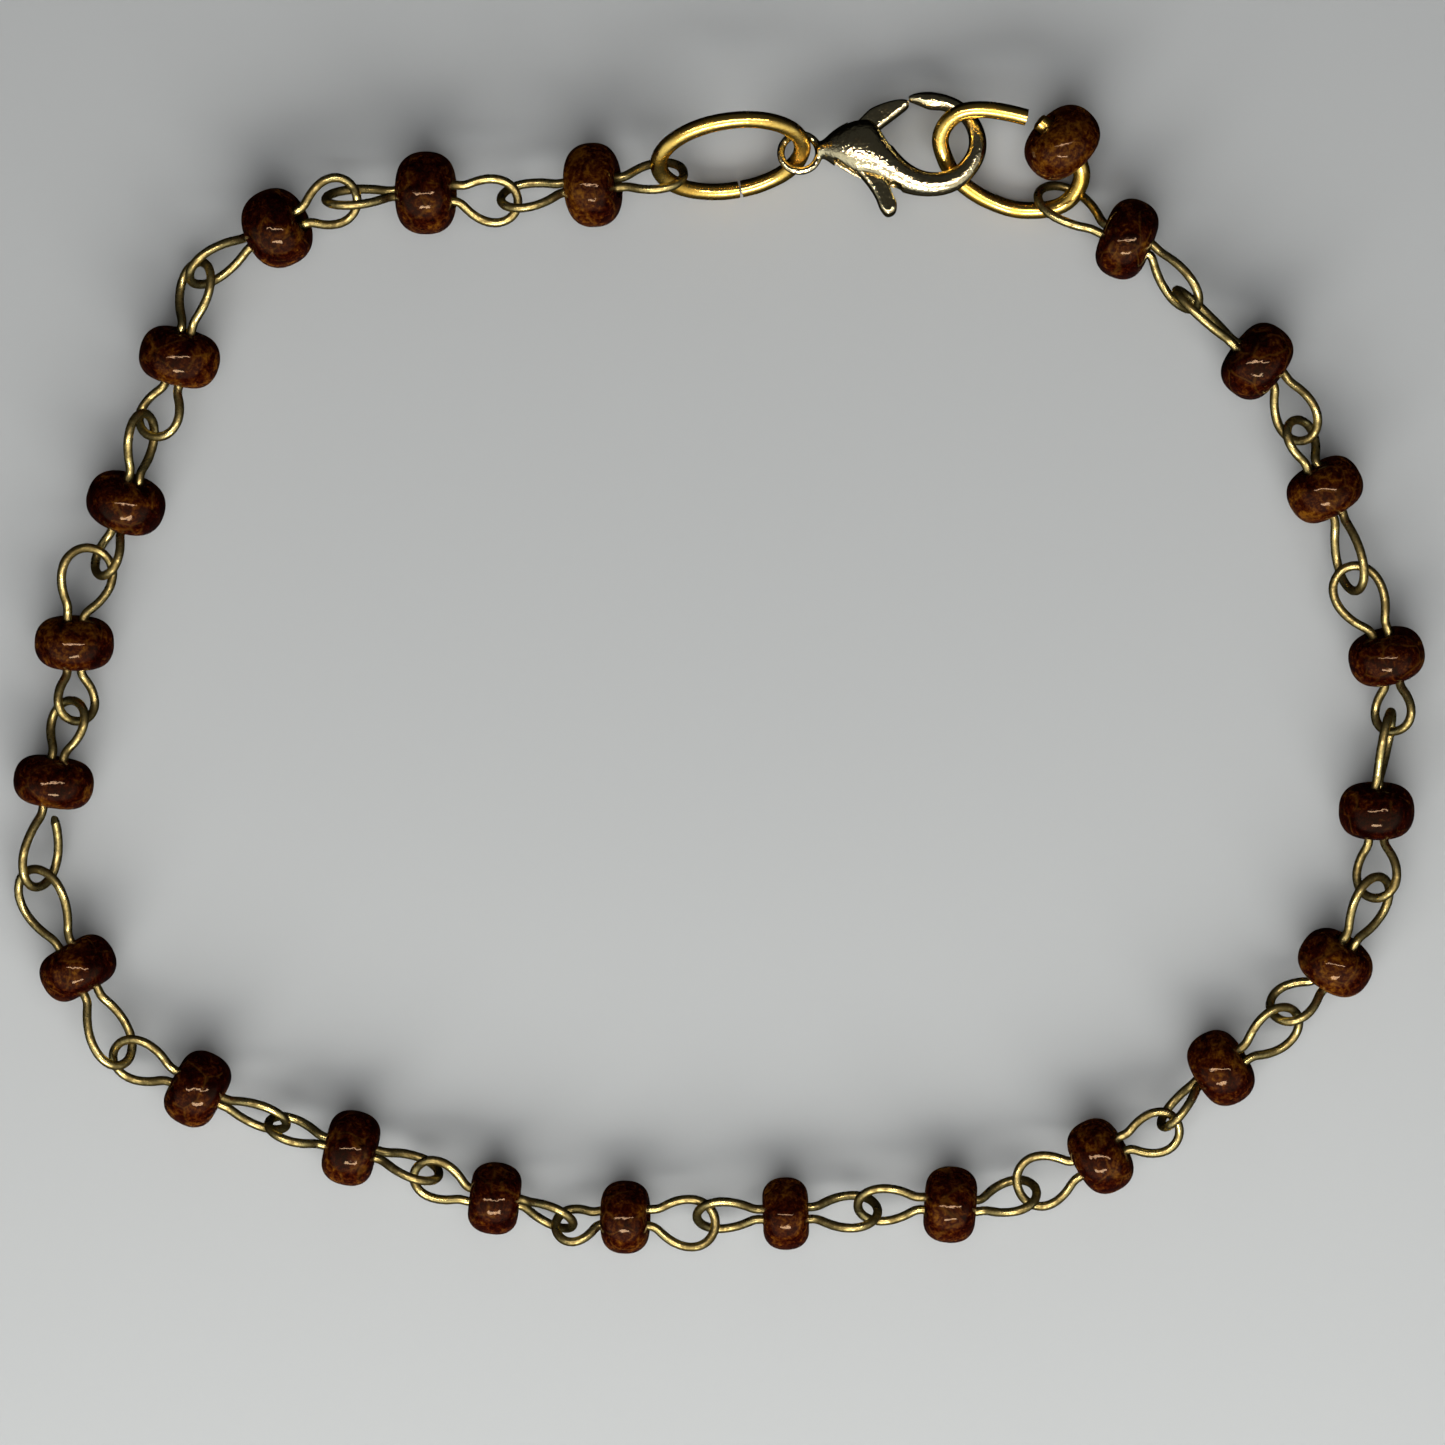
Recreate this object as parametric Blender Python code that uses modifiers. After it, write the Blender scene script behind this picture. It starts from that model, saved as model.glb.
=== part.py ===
"""A beaded wire bracelet, lying fastened in a loop on a table.

Each glass bead sits on a link of fine wire. The link's wire runs through the bead and
comes back in a loop at both ends, and each loop hooks through the loop of the next
link. The two ends of the chain hang on oval jump rings. A lobster clasp is threaded
on the left ring by its eye and holds the right ring in its hook, and one more bead
sits on the right ring.

Lengths are in metres, +Z is up, and the table is the plane z = 0. The chain runs
counter-clockwise seen from above, from the left ring round to the right ring.
"""
from collections import namedtuple
from math import acos, asin, atan2, cos, pi, radians, sin

import bmesh
import bpy
from mathutils import Matrix, Vector

# Driving dimensions
MM = 0.001
BEAD_DIAMETER = 0.0040
BEAD_LENGTH = 0.0027
BEAD_SQUARENESS = 2.3
HOLE_PLAY = 0.00014
HOLE_LEAN = 0.00002
LINK_WIRE = 0.00046
STRAND_GAP = 0.00036
LOOP_WIDTH = 0.0023
LOOP_FULLNESS = 0.86
LOOP_PINCH = 0.6
NECK_TURN = radians(38)
MOUTH_REACH = 0.0001
TAIL_DEPTH = 0.0007
SHORT_TAIL = 0.0006
RING_WIRE = 0.00085
RING_LENGTH = 0.00725
LEFT_RING_WIDTH = 0.0049
RIGHT_RING_WIDTH = 0.00555
RING_SEAM = 0.0001
CLASP_LENGTH = 0.0104
CLASP_DEPTH = 0.00235
EYE_HOLE = 0.0015
EYE_RIM = 0.00040
EYE_SHIFT = 0.00008
LEVER_THICKNESS = 0.0009
LEVER_PLAY = 0.0001
RIVET_DIAMETER = 0.0006
RIVET_PLAY = 0.00005
RIVET_SEAT = 0.00035

# Angles
LEFT_RING_HEADING = radians(8.7)
LEFT_RING_TILT = radians(48)
LEFT_RING_SEAM_AT = radians(-86)
RIGHT_RING_HEADING = radians(-9)
RIGHT_RING_TILT = radians(29)
EYE_ON_RING_AT = radians(-13)
CLASP_LEAN = radians(12)

# Facets
BEAD_SIDES = 12
BEAD_STEPS = 7
LOOP_STEPS = 10
RING_STEPS = 32
SECTION_SIDES = 12
EYE_STEPS = 24
EYE_SIDES = 8
RIVET_SIDES = 16
LINK_BEVEL_STEPS = 1
RING_BEVEL_STEPS = 2

# What follows from them
BEAD_HOLE = 2 * LINK_WIRE + STRAND_GAP + 2 * HOLE_PLAY
STRAND_OFFSET = (LINK_WIRE + STRAND_GAP) / 2
SLOT_WIDTH = LEVER_THICKNESS + 2 * LEVER_PLAY
END_BEAD_SAG = (BEAD_HOLE - RING_WIRE) / 6
EYE_RADIUS = (EYE_HOLE + EYE_RIM) / 2

UP = Vector((0, 0, 1))

# The route of the chain, chosen by eye. Each bead has the place of its middle in
# millimetres, the direction of its hole towards the next bead, how far that end is
# raised, and its own girth and length as shares of the usual ones.
Bead = namedtuple("Bead", "x_mm y_mm heading_deg tilt_deg girth length")
BEADS = [
    Bead(-6.33, 24.35, 184, -12, 1.06, 0.96),
    Bead(-14.68, 23.95, 180, -8, 1.04, 1.05),
    Bead(-22.12, 22.20, 203, -20, 1.00, 1.02),
    Bead(-27.00, 15.75, 255, -8, 1.02, 1.00),
    Bead(-29.68, 8.45, 250, -16, 1.00, 0.96),
    Bead(-32.25, 1.45, 268, -10, 1.00, 0.93),
    Bead(-33.29, -5.50, 261, -5, 1.01, 0.91),
    Bead(-32.08, -14.80, 300, 0, 0.99, 0.95),
    Bead(-26.10, -20.85, 332, 0, 0.97, 0.98),
    Bead(-18.43, -23.80, 347, 0, 0.95, 0.96),
    Bead(-11.24, -26.33, 353, 0, 0.91, 0.93),
    Bead(-4.71, -27.26, 0, 6, 0.92, 0.87),
    Bead(3.31, -27.09, 2, 0, 0.91, 0.85),
    Bead(11.54, -26.64, -4, 0, 0.96, 0.96),
    Bead(19.05, -24.20, 30, 9, 0.97, 0.93),
    Bead(25.08, -19.80, 31, 10, 0.97, 0.95),
    Bead(30.80, -14.53, 57, 18, 0.96, 0.93),
    Bead(32.86, -6.94, 90, 12, 0.95, 0.96),
    Bead(33.36, 0.78, 105, 15, 0.96, 0.91),
    Bead(30.27, 9.13, 120, 9, 0.97, 0.96),
    Bead(26.88, 15.54, 143, 6, 1.00, 0.98),
    Bead(20.38, 21.64, 158, -4, 1.03, 0.93),
]

# Where each link hooks into the next. A hook is the tip of one loop in millimetres,
# how far the loop's plane is rolled, with its outer leg raised, and the loop's width
# as a share of the usual one. The first is the loop before the crossing.
Hook = namedtuple("Hook", "x_mm y_mm roll_deg width")
Crossing = namedtuple("Crossing", "before after")
CROSSINGS = [
    Crossing(Hook(-10.93, 23.55, -52, 0.90), Hook(-10.08, 23.30, 12, 0.97)),
    Crossing(Hook(-19.70, 23.60, -67, 1.00), Hook(-18.20, 24.05, 26, 1.08)),
    Crossing(Hook(-26.48, 19.60, 56, 1.00), Hook(-25.95, 20.53, -48, 1.00)),
    Crossing(Hook(-28.43, 11.78, -30, 1.00), Hook(-28.69, 12.94, 55, 0.90)),
    Crossing(Hook(-30.93, 4.80, -54, 0.85), Hook(-31.25, 6.17, 18, 1.15)),
    Crossing(Hook(-32.08, -2.48, 38, 1.00), Hook(-32.27, -1.43, -42, 1.00)),
    Crossing(Hook(-34.25, -10.78, 46, 1.00), Hook(-34.60, -9.93, -37, 1.20)),
    Crossing(Hook(-29.85, -19.65, 30, 0.95), Hook(-30.28, -18.90, -38, 1.12)),
    Crossing(Hook(-21.65, -22.68, -61, 1.00), Hook(-22.55, -22.50, 63, 1.00)),
    Crossing(Hook(-14.03, -25.20, 64, 1.00), Hook(-15.23, -24.90, -30, 0.96)),
    Crossing(Hook(-7.33, -27.70, -66, 1.00), Hook(-8.18, -27.95, 36, 1.00)),
    Crossing(Hook(-0.20, -27.75, 6, 1.05), Hook(-1.15, -27.20, -53, 1.05)),
    Crossing(Hook(7.93, -26.95, 51, 1.08), Hook(6.90, -26.70, -40, 0.97)),
    Crossing(Hook(15.85, -25.88, 52, 1.03), Hook(14.93, -25.85, -6, 1.12)),
    Crossing(Hook(22.98, -22.69, -20, 0.96), Hook(22.15, -22.75, 74, 0.95)),
    Crossing(Hook(28.88, -17.09, -38, 1.06), Hook(27.71, -17.15, 40, 1.00)),
    Crossing(Hook(33.23, -10.30, -44, 1.00), Hook(32.88, -11.33, 34, 1.02)),
    Crossing(Hook(33.60, -1.98, -79, 1.00), Hook(33.70, -3.00, 37, 1.02)),
    Crossing(Hook(31.25, 5.18, 0, 1.05), Hook(31.88, 4.05, 60, 1.00)),
    Crossing(Hook(28.75, 12.60, -48, 1.05), Hook(29.40, 11.61, 26, 0.95)),
    Crossing(Hook(22.83, 19.10, -77, 1.00), Hook(23.81, 18.18, 56, 0.98)),
]

# The loops at the two ends of the chain, which hold the jump rings. Their tips are
# given from the middle of the ring's wire where the loop holds it.
EndHook = namedtuple("EndHook", "x_mm y_mm z_mm roll_deg width")
FIRST_HOOK = EndHook(1.25, -0.25, 0.00, -52, 1.00)
LAST_HOOK = EndHook(-0.01, 1.05, 0.36, -50, 1.17)
SHORT_TAIL_LINK = 7

LEFT_RING_MM = (0.55, 25.80)

# The right ring was opened by hand and is no clean oval. Its centre line runs from
# one cut end, over the hook, round under it and through the end bead to the other,
# as shares of half its length and half its width.
RingPoint = namedtuple("RingPoint", "along across")
RIGHT_RING = [
    RingPoint(0.10, 0.87),
    RingPoint(-0.14, 0.90),
    RingPoint(-0.47, 0.90),
    RingPoint(-0.78, 0.79),
    RingPoint(-0.97, 0.53),
    RingPoint(-1.03, 0.16),
    RingPoint(-0.92, -0.19),
    RingPoint(-0.78, -0.47),
    RingPoint(-0.55, -0.70),
    RingPoint(-0.25, -0.88),
    RingPoint(0.14, -0.98),
    RingPoint(0.52, -0.91),
    RingPoint(0.78, -0.75),
    RingPoint(0.93, -0.50),
    RingPoint(0.99, -0.21),
    RingPoint(0.96, 0.05),
    RingPoint(0.84, 0.28),
    RingPoint(0.64, 0.52),
    RingPoint(0.44, 0.70),
    RingPoint(0.28, 0.83),
]
RING_POINT_IN_HOOK = 5
RING_POINT_IN_LINK = 11
RING_POINT_IN_BEAD = 17
END_BEAD_GIRTH = 1.02
END_BEAD_LENGTH = 0.96

# The clasp's own frame has its origin on the rivet, X towards the hook and Y away
# from the thumb tab. Places and widths are shares of CLASP_LENGTH, depths shares of
# CLASP_DEPTH.
EYE_PLACE = (-0.231, -0.010)
HOOK_HOLD = (0.442, 0.053)
Section = namedtuple("Section", "x y heading_deg width depth")
CLASP_SECTIONS = [
    Section(-0.149, 0.000, 3, 0.077, 0.34),
    Section(-0.115, 0.007, 3, 0.096, 0.47),
    Section(-0.072, 0.012, 2, 0.163, 0.68),
    Section(-0.024, 0.014, 0, 0.226, 0.86),
    Section(0.029, 0.014, -3, 0.279, 0.97),
    Section(0.087, 0.005, -14, 0.298, 1.00),
    Section(0.139, -0.043, -30, 0.221, 0.95),
    Section(0.197, -0.087, -34, 0.173, 0.85),
    Section(0.264, -0.130, -28, 0.144, 0.70),
    Section(0.346, -0.161, -14, 0.125, 0.57),
    Section(0.433, -0.166, 3, 0.115, 0.49),
    Section(0.510, -0.144, 26, 0.106, 0.45),
    Section(0.572, -0.091, 52, 0.096, 0.43),
    Section(0.615, -0.019, 78, 0.091, 0.43),
    Section(0.623, 0.062, 97, 0.084, 0.43),
    Section(0.596, 0.139, 117, 0.077, 0.43),
    Section(0.543, 0.200, 140, 0.075, 0.40),
    Section(0.471, 0.236, 163, 0.079, 0.40),
    Section(0.394, 0.248, 176, 0.087, 0.40),
    Section(0.332, 0.257, 184, 0.058, 0.32),
    Section(0.293, 0.257, 186, 0.029, 0.21),
]
SECTION_SQUARENESS = 2.6

# Outlines of the lever, from the gate's tip round by the thumb tab, and of the slot
# that it swings in.
Corner = namedtuple("Corner", "x y")
LEVER_OUTLINE = [
    Corner(0.274, 0.250),
    Corner(0.197, 0.240),
    Corner(0.115, 0.207),
    Corner(0.072, 0.168),
    Corner(-0.029, 0.062),
    Corner(-0.062, 0.000),
    Corner(-0.043, -0.048),
    Corner(0.038, -0.106),
    Corner(0.096, -0.173),
    Corner(0.134, -0.236),
    Corner(0.154, -0.288),
    Corner(0.187, -0.325),
    Corner(0.226, -0.310),
    Corner(0.236, -0.265),
    Corner(0.213, -0.212),
    Corner(0.183, -0.135),
    Corner(0.082, -0.038),
    Corner(0.087, 0.029),
    Corner(0.149, 0.101),
    Corner(0.226, 0.163),
    Corner(0.293, 0.221),
]
SLOT_OUTLINE = [
    Corner(-0.087, 0.000),
    Corner(-0.062, 0.072),
    Corner(0.000, 0.135),
    Corner(0.038, 0.240),
    Corner(0.192, 0.337),
    Corner(0.278, 0.300),
    Corner(0.302, 0.215),
    Corner(0.346, 0.106),
    Corner(0.202, 0.014),
    Corner(0.135, -0.024),
    Corner(0.173, -0.077),
    Corner(0.255, -0.183),
    Corner(0.288, -0.385),
    Corner(0.048, -0.409),
    Corner(-0.019, -0.288),
    Corner(-0.029, -0.183),
    Corner(-0.058, -0.077),
]


def clear_scene():
    """Remove whatever the file opened with."""
    for thing in list(bpy.data.objects):
        bpy.data.objects.remove(thing)


def make_collection(name):
    """A collection of its own in the scene."""
    collection = bpy.data.collections.new(name)
    bpy.context.scene.collection.children.link(collection)
    return collection


def make_material(name, colour, roughness, metallic):
    """A Principled material with the piece's colour and finish."""
    material = bpy.data.materials.new(name)
    material.use_nodes = True
    shader = material.node_tree.nodes["Principled BSDF"]
    shader.inputs["Base Color"].default_value = (*colour, 1)
    shader.inputs["Roughness"].default_value = roughness
    shader.inputs["Metallic"].default_value = metallic
    return material


def make_empty(name, matrix, parent=None):
    """An empty that carries pieces."""
    empty = bpy.data.objects.new(name, None)
    parts.objects.link(empty)
    empty.matrix_world = matrix
    empty.parent = parent
    return empty


def place(piece, material, matrix=Matrix.Identity(4), parent=None):
    """Give a piece its material, its place and the empty that carries it."""
    piece.data.materials.append(material)
    parts.objects.link(piece)
    piece.matrix_local = matrix
    piece.parent = parent or bracelet
    return piece


def make_cutter(mesh, matrix=Matrix.Identity(4), parent=None):
    """Hide a shape that only cuts or joins another."""
    cutter = bpy.data.objects.new("cutter " + mesh.name, mesh)
    cutters.objects.link(cutter)
    cutter.matrix_local = matrix
    cutter.parent = parent
    cutter.hide_render = True
    cutter.display_type = "WIRE"
    return cutter


def add_boolean(piece, cutter, operation):
    """Cut or join with the exact solver."""
    modifier = piece.modifiers.new(operation.title(), "BOOLEAN")
    modifier.operation = operation
    modifier.solver = "EXACT"
    modifier.object = cutter


def signed_power(value, power):
    """A power that keeps the value's sign."""
    return abs(value) ** power * (1 if value > 0 else -1)


def smooth_line(points, per_span):
    """A curve through the points, with per_span steps between each two of them."""
    ends = [2 * points[0] - points[1], *points, 2 * points[-1] - points[-2]]
    line = []
    for before, start, end, after in zip(ends, ends[1:], ends[2:], ends[3:]):
        for step in range(per_span):
            t = step / per_span
            bend = 2 * before - 5 * start + 4 * end - after
            twist = 3 * start - before - 3 * end + after
            line.append(start + 0.5 * (t * (end - before) + t * t * bend + t ** 3 * twist))
    line.append(points[-1])
    return line


def make_wire(name, points, diameter, bevel):
    """A round wire along the points."""
    curve = bpy.data.curves.new(name, "CURVE")
    curve.dimensions = "3D"
    curve.bevel_depth = diameter / 2
    curve.bevel_resolution = bevel
    curve.use_fill_caps = True
    spline = curve.splines.new("POLY")
    spline.points.add(len(points) - 1)
    for target, point in zip(spline.points, points):
        target.co = (*point, 1)
    spline.use_smooth = True
    return bpy.data.objects.new(name, curve)


def make_plate(name, outline, thickness):
    """A flat plate with the given outline, as a mesh."""
    curve = bpy.data.curves.new(name, "CURVE")
    curve.dimensions = "2D"
    curve.fill_mode = "BOTH"
    curve.extrude = thickness / 2
    spline = curve.splines.new("POLY")
    spline.points.add(len(outline) - 1)
    spline.use_cyclic_u = True
    for target, point in zip(spline.points, outline):
        target.co = (point[0], point[1], 0, 1)
    drawn = bpy.data.objects.new(name, curve)
    parts.objects.link(drawn)
    graph = bpy.context.evaluated_depsgraph_get()
    mesh = bpy.data.meshes.new_from_object(drawn.evaluated_get(graph))
    bpy.data.objects.remove(drawn)
    weld = bmesh.new()
    weld.from_mesh(mesh)
    bmesh.ops.remove_doubles(weld, verts=weld.verts, dist=0.000001)
    weld.to_mesh(mesh)
    weld.free()
    mesh.name = name
    return mesh


def make_pin(name, diameter, length, sides):
    """A plain round pin along Z."""
    mesh = bpy.data.meshes.new(name)
    shape = bmesh.new()
    bmesh.ops.create_cone(shape, cap_ends=True, segments=sides, radius1=diameter / 2,
                          radius2=diameter / 2, depth=length)
    shape.to_mesh(mesh)
    shape.free()
    return mesh


def bead_outline(radius, half_length):
    """Half a bead's section: it bulges from one rim of the hole to the other."""
    hole = BEAD_HOLE / 2
    outline = []
    for step in range(BEAD_STEPS + 1):
        turn = pi * step / BEAD_STEPS
        along = half_length * signed_power(cos(turn), 2 / BEAD_SQUARENESS)
        out = hole + (radius - hole) * abs(sin(turn)) ** (2 / BEAD_SQUARENESS)
        outline.append((out, along))
    return outline


def turned_bead(name, radius, half_length):
    """A drilled bead, turned about Z."""
    outline = bead_outline(radius, half_length)
    mesh = bpy.data.meshes.new(name)
    corners = [(out, 0, along) for out, along in outline]
    edges = [(i, (i + 1) % len(corners)) for i in range(len(corners))]
    mesh.from_pydata(corners, edges, [])
    bead = bpy.data.objects.new(name, mesh)
    screw = bead.modifiers.new("Turn", "SCREW")
    screw.axis = "Z"
    screw.angle = 2 * pi
    screw.steps = BEAD_SIDES
    screw.render_steps = BEAD_SIDES
    screw.use_merge_vertices = True
    screw.merge_threshold = 0.00001
    return bead


def bead_frame(middle, heading, tilt):
    """A bead's axes: Z along its hole, and a corner of its facets straight below."""
    axis = Vector((cos(heading) * cos(tilt), sin(heading) * cos(tilt), sin(tilt)))
    side = axis.cross(UP).normalized()
    rise = side.cross(axis)
    turn = Matrix((side, rise, axis)).transposed().to_4x4()
    return Matrix.Translation(middle) @ turn


def rest_height(radius, half_length, tilt):
    """How high a bead's middle is when the bead rests on the table."""
    outline = bead_outline(radius, half_length)
    return max(out * cos(tilt) + along * sin(tilt) for out, along in outline)


class Seat:
    """A bead of the chain: its size, its frame and the two mouths of its hole."""

    def __init__(self, row):
        self.radius = row.girth * BEAD_DIAMETER / 2
        self.half_length = row.length * BEAD_LENGTH / 2
        tilt = radians(row.tilt_deg)
        height = rest_height(self.radius, self.half_length, tilt)
        middle = Vector((row.x_mm * MM, row.y_mm * MM, height))
        self.frame = bead_frame(middle, radians(row.heading_deg), tilt)
        self.reach = self.half_length + MOUTH_REACH

    def mouth_height(self, end):
        """How high the hole's front (+1) or back (-1) mouth is."""
        return (self.frame @ Vector((0, 0, end * self.reach))).z

    def lean(self, end, tip):
        """Where the strands pass a mouth: the loop pulls them to the side of its tip."""
        pull = self.frame.inverted() @ tip
        pull.z = 0
        pull.length = min(pull.length, HOLE_LEAN)
        return pull + Vector((0, 0, end * self.reach))


def drop_outline(length, width):
    """Half turns round a drop that starts at its pointed end, as (along, side) pairs."""
    peak = pi - acos(LOOP_PINCH / (LOOP_PINCH + 2))
    fullest = sin(peak) * sin(peak / 2) ** LOOP_PINCH
    neck = NECK_TURN
    outline = []
    for step in range(LOOP_STEPS + 1):
        turn = neck + 2 * (pi - neck) * step / LOOP_STEPS
        side = sin(turn) * sin(turn / 2) ** LOOP_PINCH / fullest
        outline.append((length * (1 - cos(turn)) / 2, width / 2 * side))
    return outline


class Loop:
    """One end of a link: a drop-shaped loop from the bead's mouth to its tip."""

    def __init__(self, seat, end, tip, row):
        self.lean = seat.lean(end, tip)
        self.mouth = seat.frame @ self.lean
        self.ahead = (tip - self.mouth).normalized()
        self.length = (tip - self.mouth).length
        self.width = min(row.width * LOOP_WIDTH, LOOP_FULLNESS * self.length)
        outward = end * Vector((self.ahead.y, -self.ahead.x, 0)).normalized()
        roll = radians(row.roll_deg)
        plane = cos(roll) * outward + sin(roll) * UP
        self.outer = (plane - plane.dot(self.ahead) * self.ahead).normalized()
        local = seat.frame.to_3x3().transposed() @ self.outer
        self.turn = atan2(local.y, local.x)

    def points(self):
        """From the outer leg's end round the tip to the inner leg's end."""
        line = []
        for along, side in drop_outline(self.length, self.width):
            line.append(self.mouth + along * self.ahead + side * self.outer)
        return line


def link_points(seat, back, front, short_tail):
    """The wire of one link, from its tail in the hole round both loops and back."""
    swing = (front.turn - back.turn + pi) % (2 * pi) - pi

    def strand(share, other_side=0):
        """A place on the main strand, or opposite it, from back (0) to front (1)."""
        turn = back.turn + swing * share + other_side
        out = Vector((cos(turn), sin(turn), 0)) * STRAND_OFFSET
        return seat.frame @ (back.lean.lerp(front.lean, share) + out)

    tail = (TAIL_DEPTH + MOUTH_REACH) / (2 * seat.reach)
    line = [strand(tail, pi), strand(0, pi), *reversed(back.points())]
    line += [strand(step / 4) for step in range(5)]
    line += front.points()
    if short_tail:
        leg = strand(1, pi) - line[-1]
        line.append(line[-1] + leg * (1 - SHORT_TAIL / leg.length))
    else:
        line += [strand(1, pi), strand(1 - tail, pi)]
    return line


def ring_frame(middle, heading, tilt):
    """A jump ring's axes: X along it, Y across it with the outer side raised."""
    turn = Matrix.Rotation(heading, 4, "Z") @ Matrix.Rotation(tilt, 4, "X")
    return Matrix.Translation(middle) @ turn


def left_ring_point(turn):
    """A point of the left ring's oval centre line in the ring's own frame."""
    return Vector((RING_LENGTH / 2 * cos(turn), LEFT_RING_WIDTH / 2 * sin(turn), 0))


def left_ring_points():
    """A closed oval whose cut ends almost meet."""
    mean_radius = (RING_LENGTH + LEFT_RING_WIDTH) / 4
    gap = (RING_SEAM + RING_WIRE / RING_STEPS) / mean_radius
    line = []
    for step in range(RING_STEPS + 1):
        turn = LEFT_RING_SEAM_AT + gap / 2 + (2 * pi - gap) * step / RING_STEPS
        line.append(left_ring_point(turn))
    return line


def right_ring_point(number):
    """A point of the right ring's centre line in the ring's own frame."""
    share = RIGHT_RING[number]
    return Vector((share.along * RING_LENGTH / 2, share.across * RIGHT_RING_WIDTH / 2, 0))


def clasp_place(shares, height=0):
    """A place in the clasp's frame from its shares of the clasp's length."""
    return Vector((shares[0] * CLASP_LENGTH, shares[1] * CLASP_LENGTH, height))


def section_ring(row):
    """The corners of one section across the clasp's body."""
    heading = radians(row.heading_deg)
    across = Vector((-sin(heading), cos(heading), 0)) * row.width * CLASP_LENGTH / 2
    rise = UP * row.depth * CLASP_DEPTH / 2
    ring = []
    for step in range(SECTION_SIDES):
        turn = 2 * pi * (step + 0.5) / SECTION_SIDES
        side = signed_power(cos(turn), 2 / SECTION_SQUARENESS)
        up = signed_power(sin(turn), 2 / SECTION_SQUARENESS)
        ring.append(clasp_place((row.x, row.y)) + side * across + up * rise)
    return ring


def lofted_body():
    """The clasp's body from its neck round to the hook's tip."""
    shape = bmesh.new()
    rings = []
    for row in CLASP_SECTIONS:
        rings.append([shape.verts.new(corner) for corner in section_ring(row)])
    for near, far in zip(rings, rings[1:]):
        for side in range(SECTION_SIDES):
            after = (side + 1) % SECTION_SIDES
            shape.faces.new((near[side], near[after], far[after], far[side]))
    shape.faces.new(list(reversed(rings[0])))
    shape.faces.new(rings[-1])
    bmesh.ops.recalc_face_normals(shape, faces=shape.faces)
    mesh = bpy.data.meshes.new("clasp_body")
    shape.to_mesh(mesh)
    shape.free()
    return mesh


def eye_mesh():
    """The clasp's eye, a torus."""
    bpy.ops.mesh.primitive_torus_add(major_segments=EYE_STEPS, minor_segments=EYE_SIDES,
                                     major_radius=EYE_RADIUS, minor_radius=EYE_RIM / 2)
    torus = bpy.context.object
    mesh = torus.data
    mesh.name = "eye"
    bpy.data.objects.remove(torus)
    return mesh


def smooth_shading(mesh):
    """Smooth faces with an edge where they meet sharply."""
    mesh.shade_smooth()
    mesh.set_sharp_from_angle(angle=radians(40))


def end_tip(wire, row):
    """The tip of a loop that holds a jump ring, from a point of the ring's wire."""
    return wire + Vector((row.x_mm * MM, row.y_mm * MM, row.z_mm * MM))


def make_chain(first_tip, last_tip):
    """All beads and the links through them."""
    seats = [Seat(row) for row in BEADS]
    hooks_back = [FIRST_HOOK] + [row.after for row in CROSSINGS]
    hooks_front = [row.before for row in CROSSINGS] + [LAST_HOOK]
    tips_back = [first_tip]
    tips_front = []
    for near, far, row in zip(seats, seats[1:], CROSSINGS):
        level = (near.mouth_height(1) + far.mouth_height(-1)) / 2
        tips_front.append(Vector((row.before.x_mm * MM, row.before.y_mm * MM, level)))
        tips_back.append(Vector((row.after.x_mm * MM, row.after.y_mm * MM, level)))
    tips_front.append(last_tip)
    for index, seat in enumerate(seats):
        number = index + 1
        bead = turned_bead("bead_%02d" % number, seat.radius, seat.half_length)
        place(bead, glass, seat.frame)
        back = Loop(seat, -1, tips_back[index], hooks_back[index])
        front = Loop(seat, 1, tips_front[index], hooks_front[index])
        line = link_points(seat, back, front, number == SHORT_TAIL_LINK)
        link = make_wire("link_%02d" % number, line, LINK_WIRE, LINK_BEVEL_STEPS)
        place(link, brass)


def left_ring_height():
    """The middle of the left ring, which rests on the table by its inner side."""
    return LEFT_RING_WIDTH / 2 * sin(LEFT_RING_TILT) + RING_WIRE / 2


def make_left_ring():
    """The closed jump ring; returns its frame."""
    middle = Vector((LEFT_RING_MM[0] * MM, LEFT_RING_MM[1] * MM, left_ring_height()))
    frame = ring_frame(middle, LEFT_RING_HEADING, LEFT_RING_TILT)
    ring = make_wire("jump_ring_left", left_ring_points(), RING_WIRE, RING_BEVEL_STEPS)
    place(ring, gold, frame)
    return frame


def right_ring_height():
    """The middle of the right ring, which rests on the table by its inner side."""
    lowest = min(point.across for point in RIGHT_RING)
    return -lowest * RIGHT_RING_WIDTH / 2 * sin(RIGHT_RING_TILT) + RING_WIRE / 2


def clasp_frame(ring):
    """The clasp's frame: it spans from the left ring's wire to the right ring's.

    The left ring's wire passes through the middle of the eye, and the hook's opening
    is level with the right ring's wire where the hook holds it.
    """
    eye = ring @ left_ring_point(EYE_ON_RING_AT)
    eye.x -= EYE_SHIFT
    held = right_ring_point(RING_POINT_IN_HOOK).y * sin(RIGHT_RING_TILT)
    climb = right_ring_height() + held - eye.z
    pitch = asin(climb / (clasp_place(HOOK_HOLD) - clasp_place(EYE_PLACE)).length)
    turn = Matrix.Rotation(-pitch, 4, "Y") @ Matrix.Rotation(-CLASP_LEAN, 4, "X")
    return Matrix.Translation(eye) @ turn @ Matrix.Translation(-clasp_place(EYE_PLACE))


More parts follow.
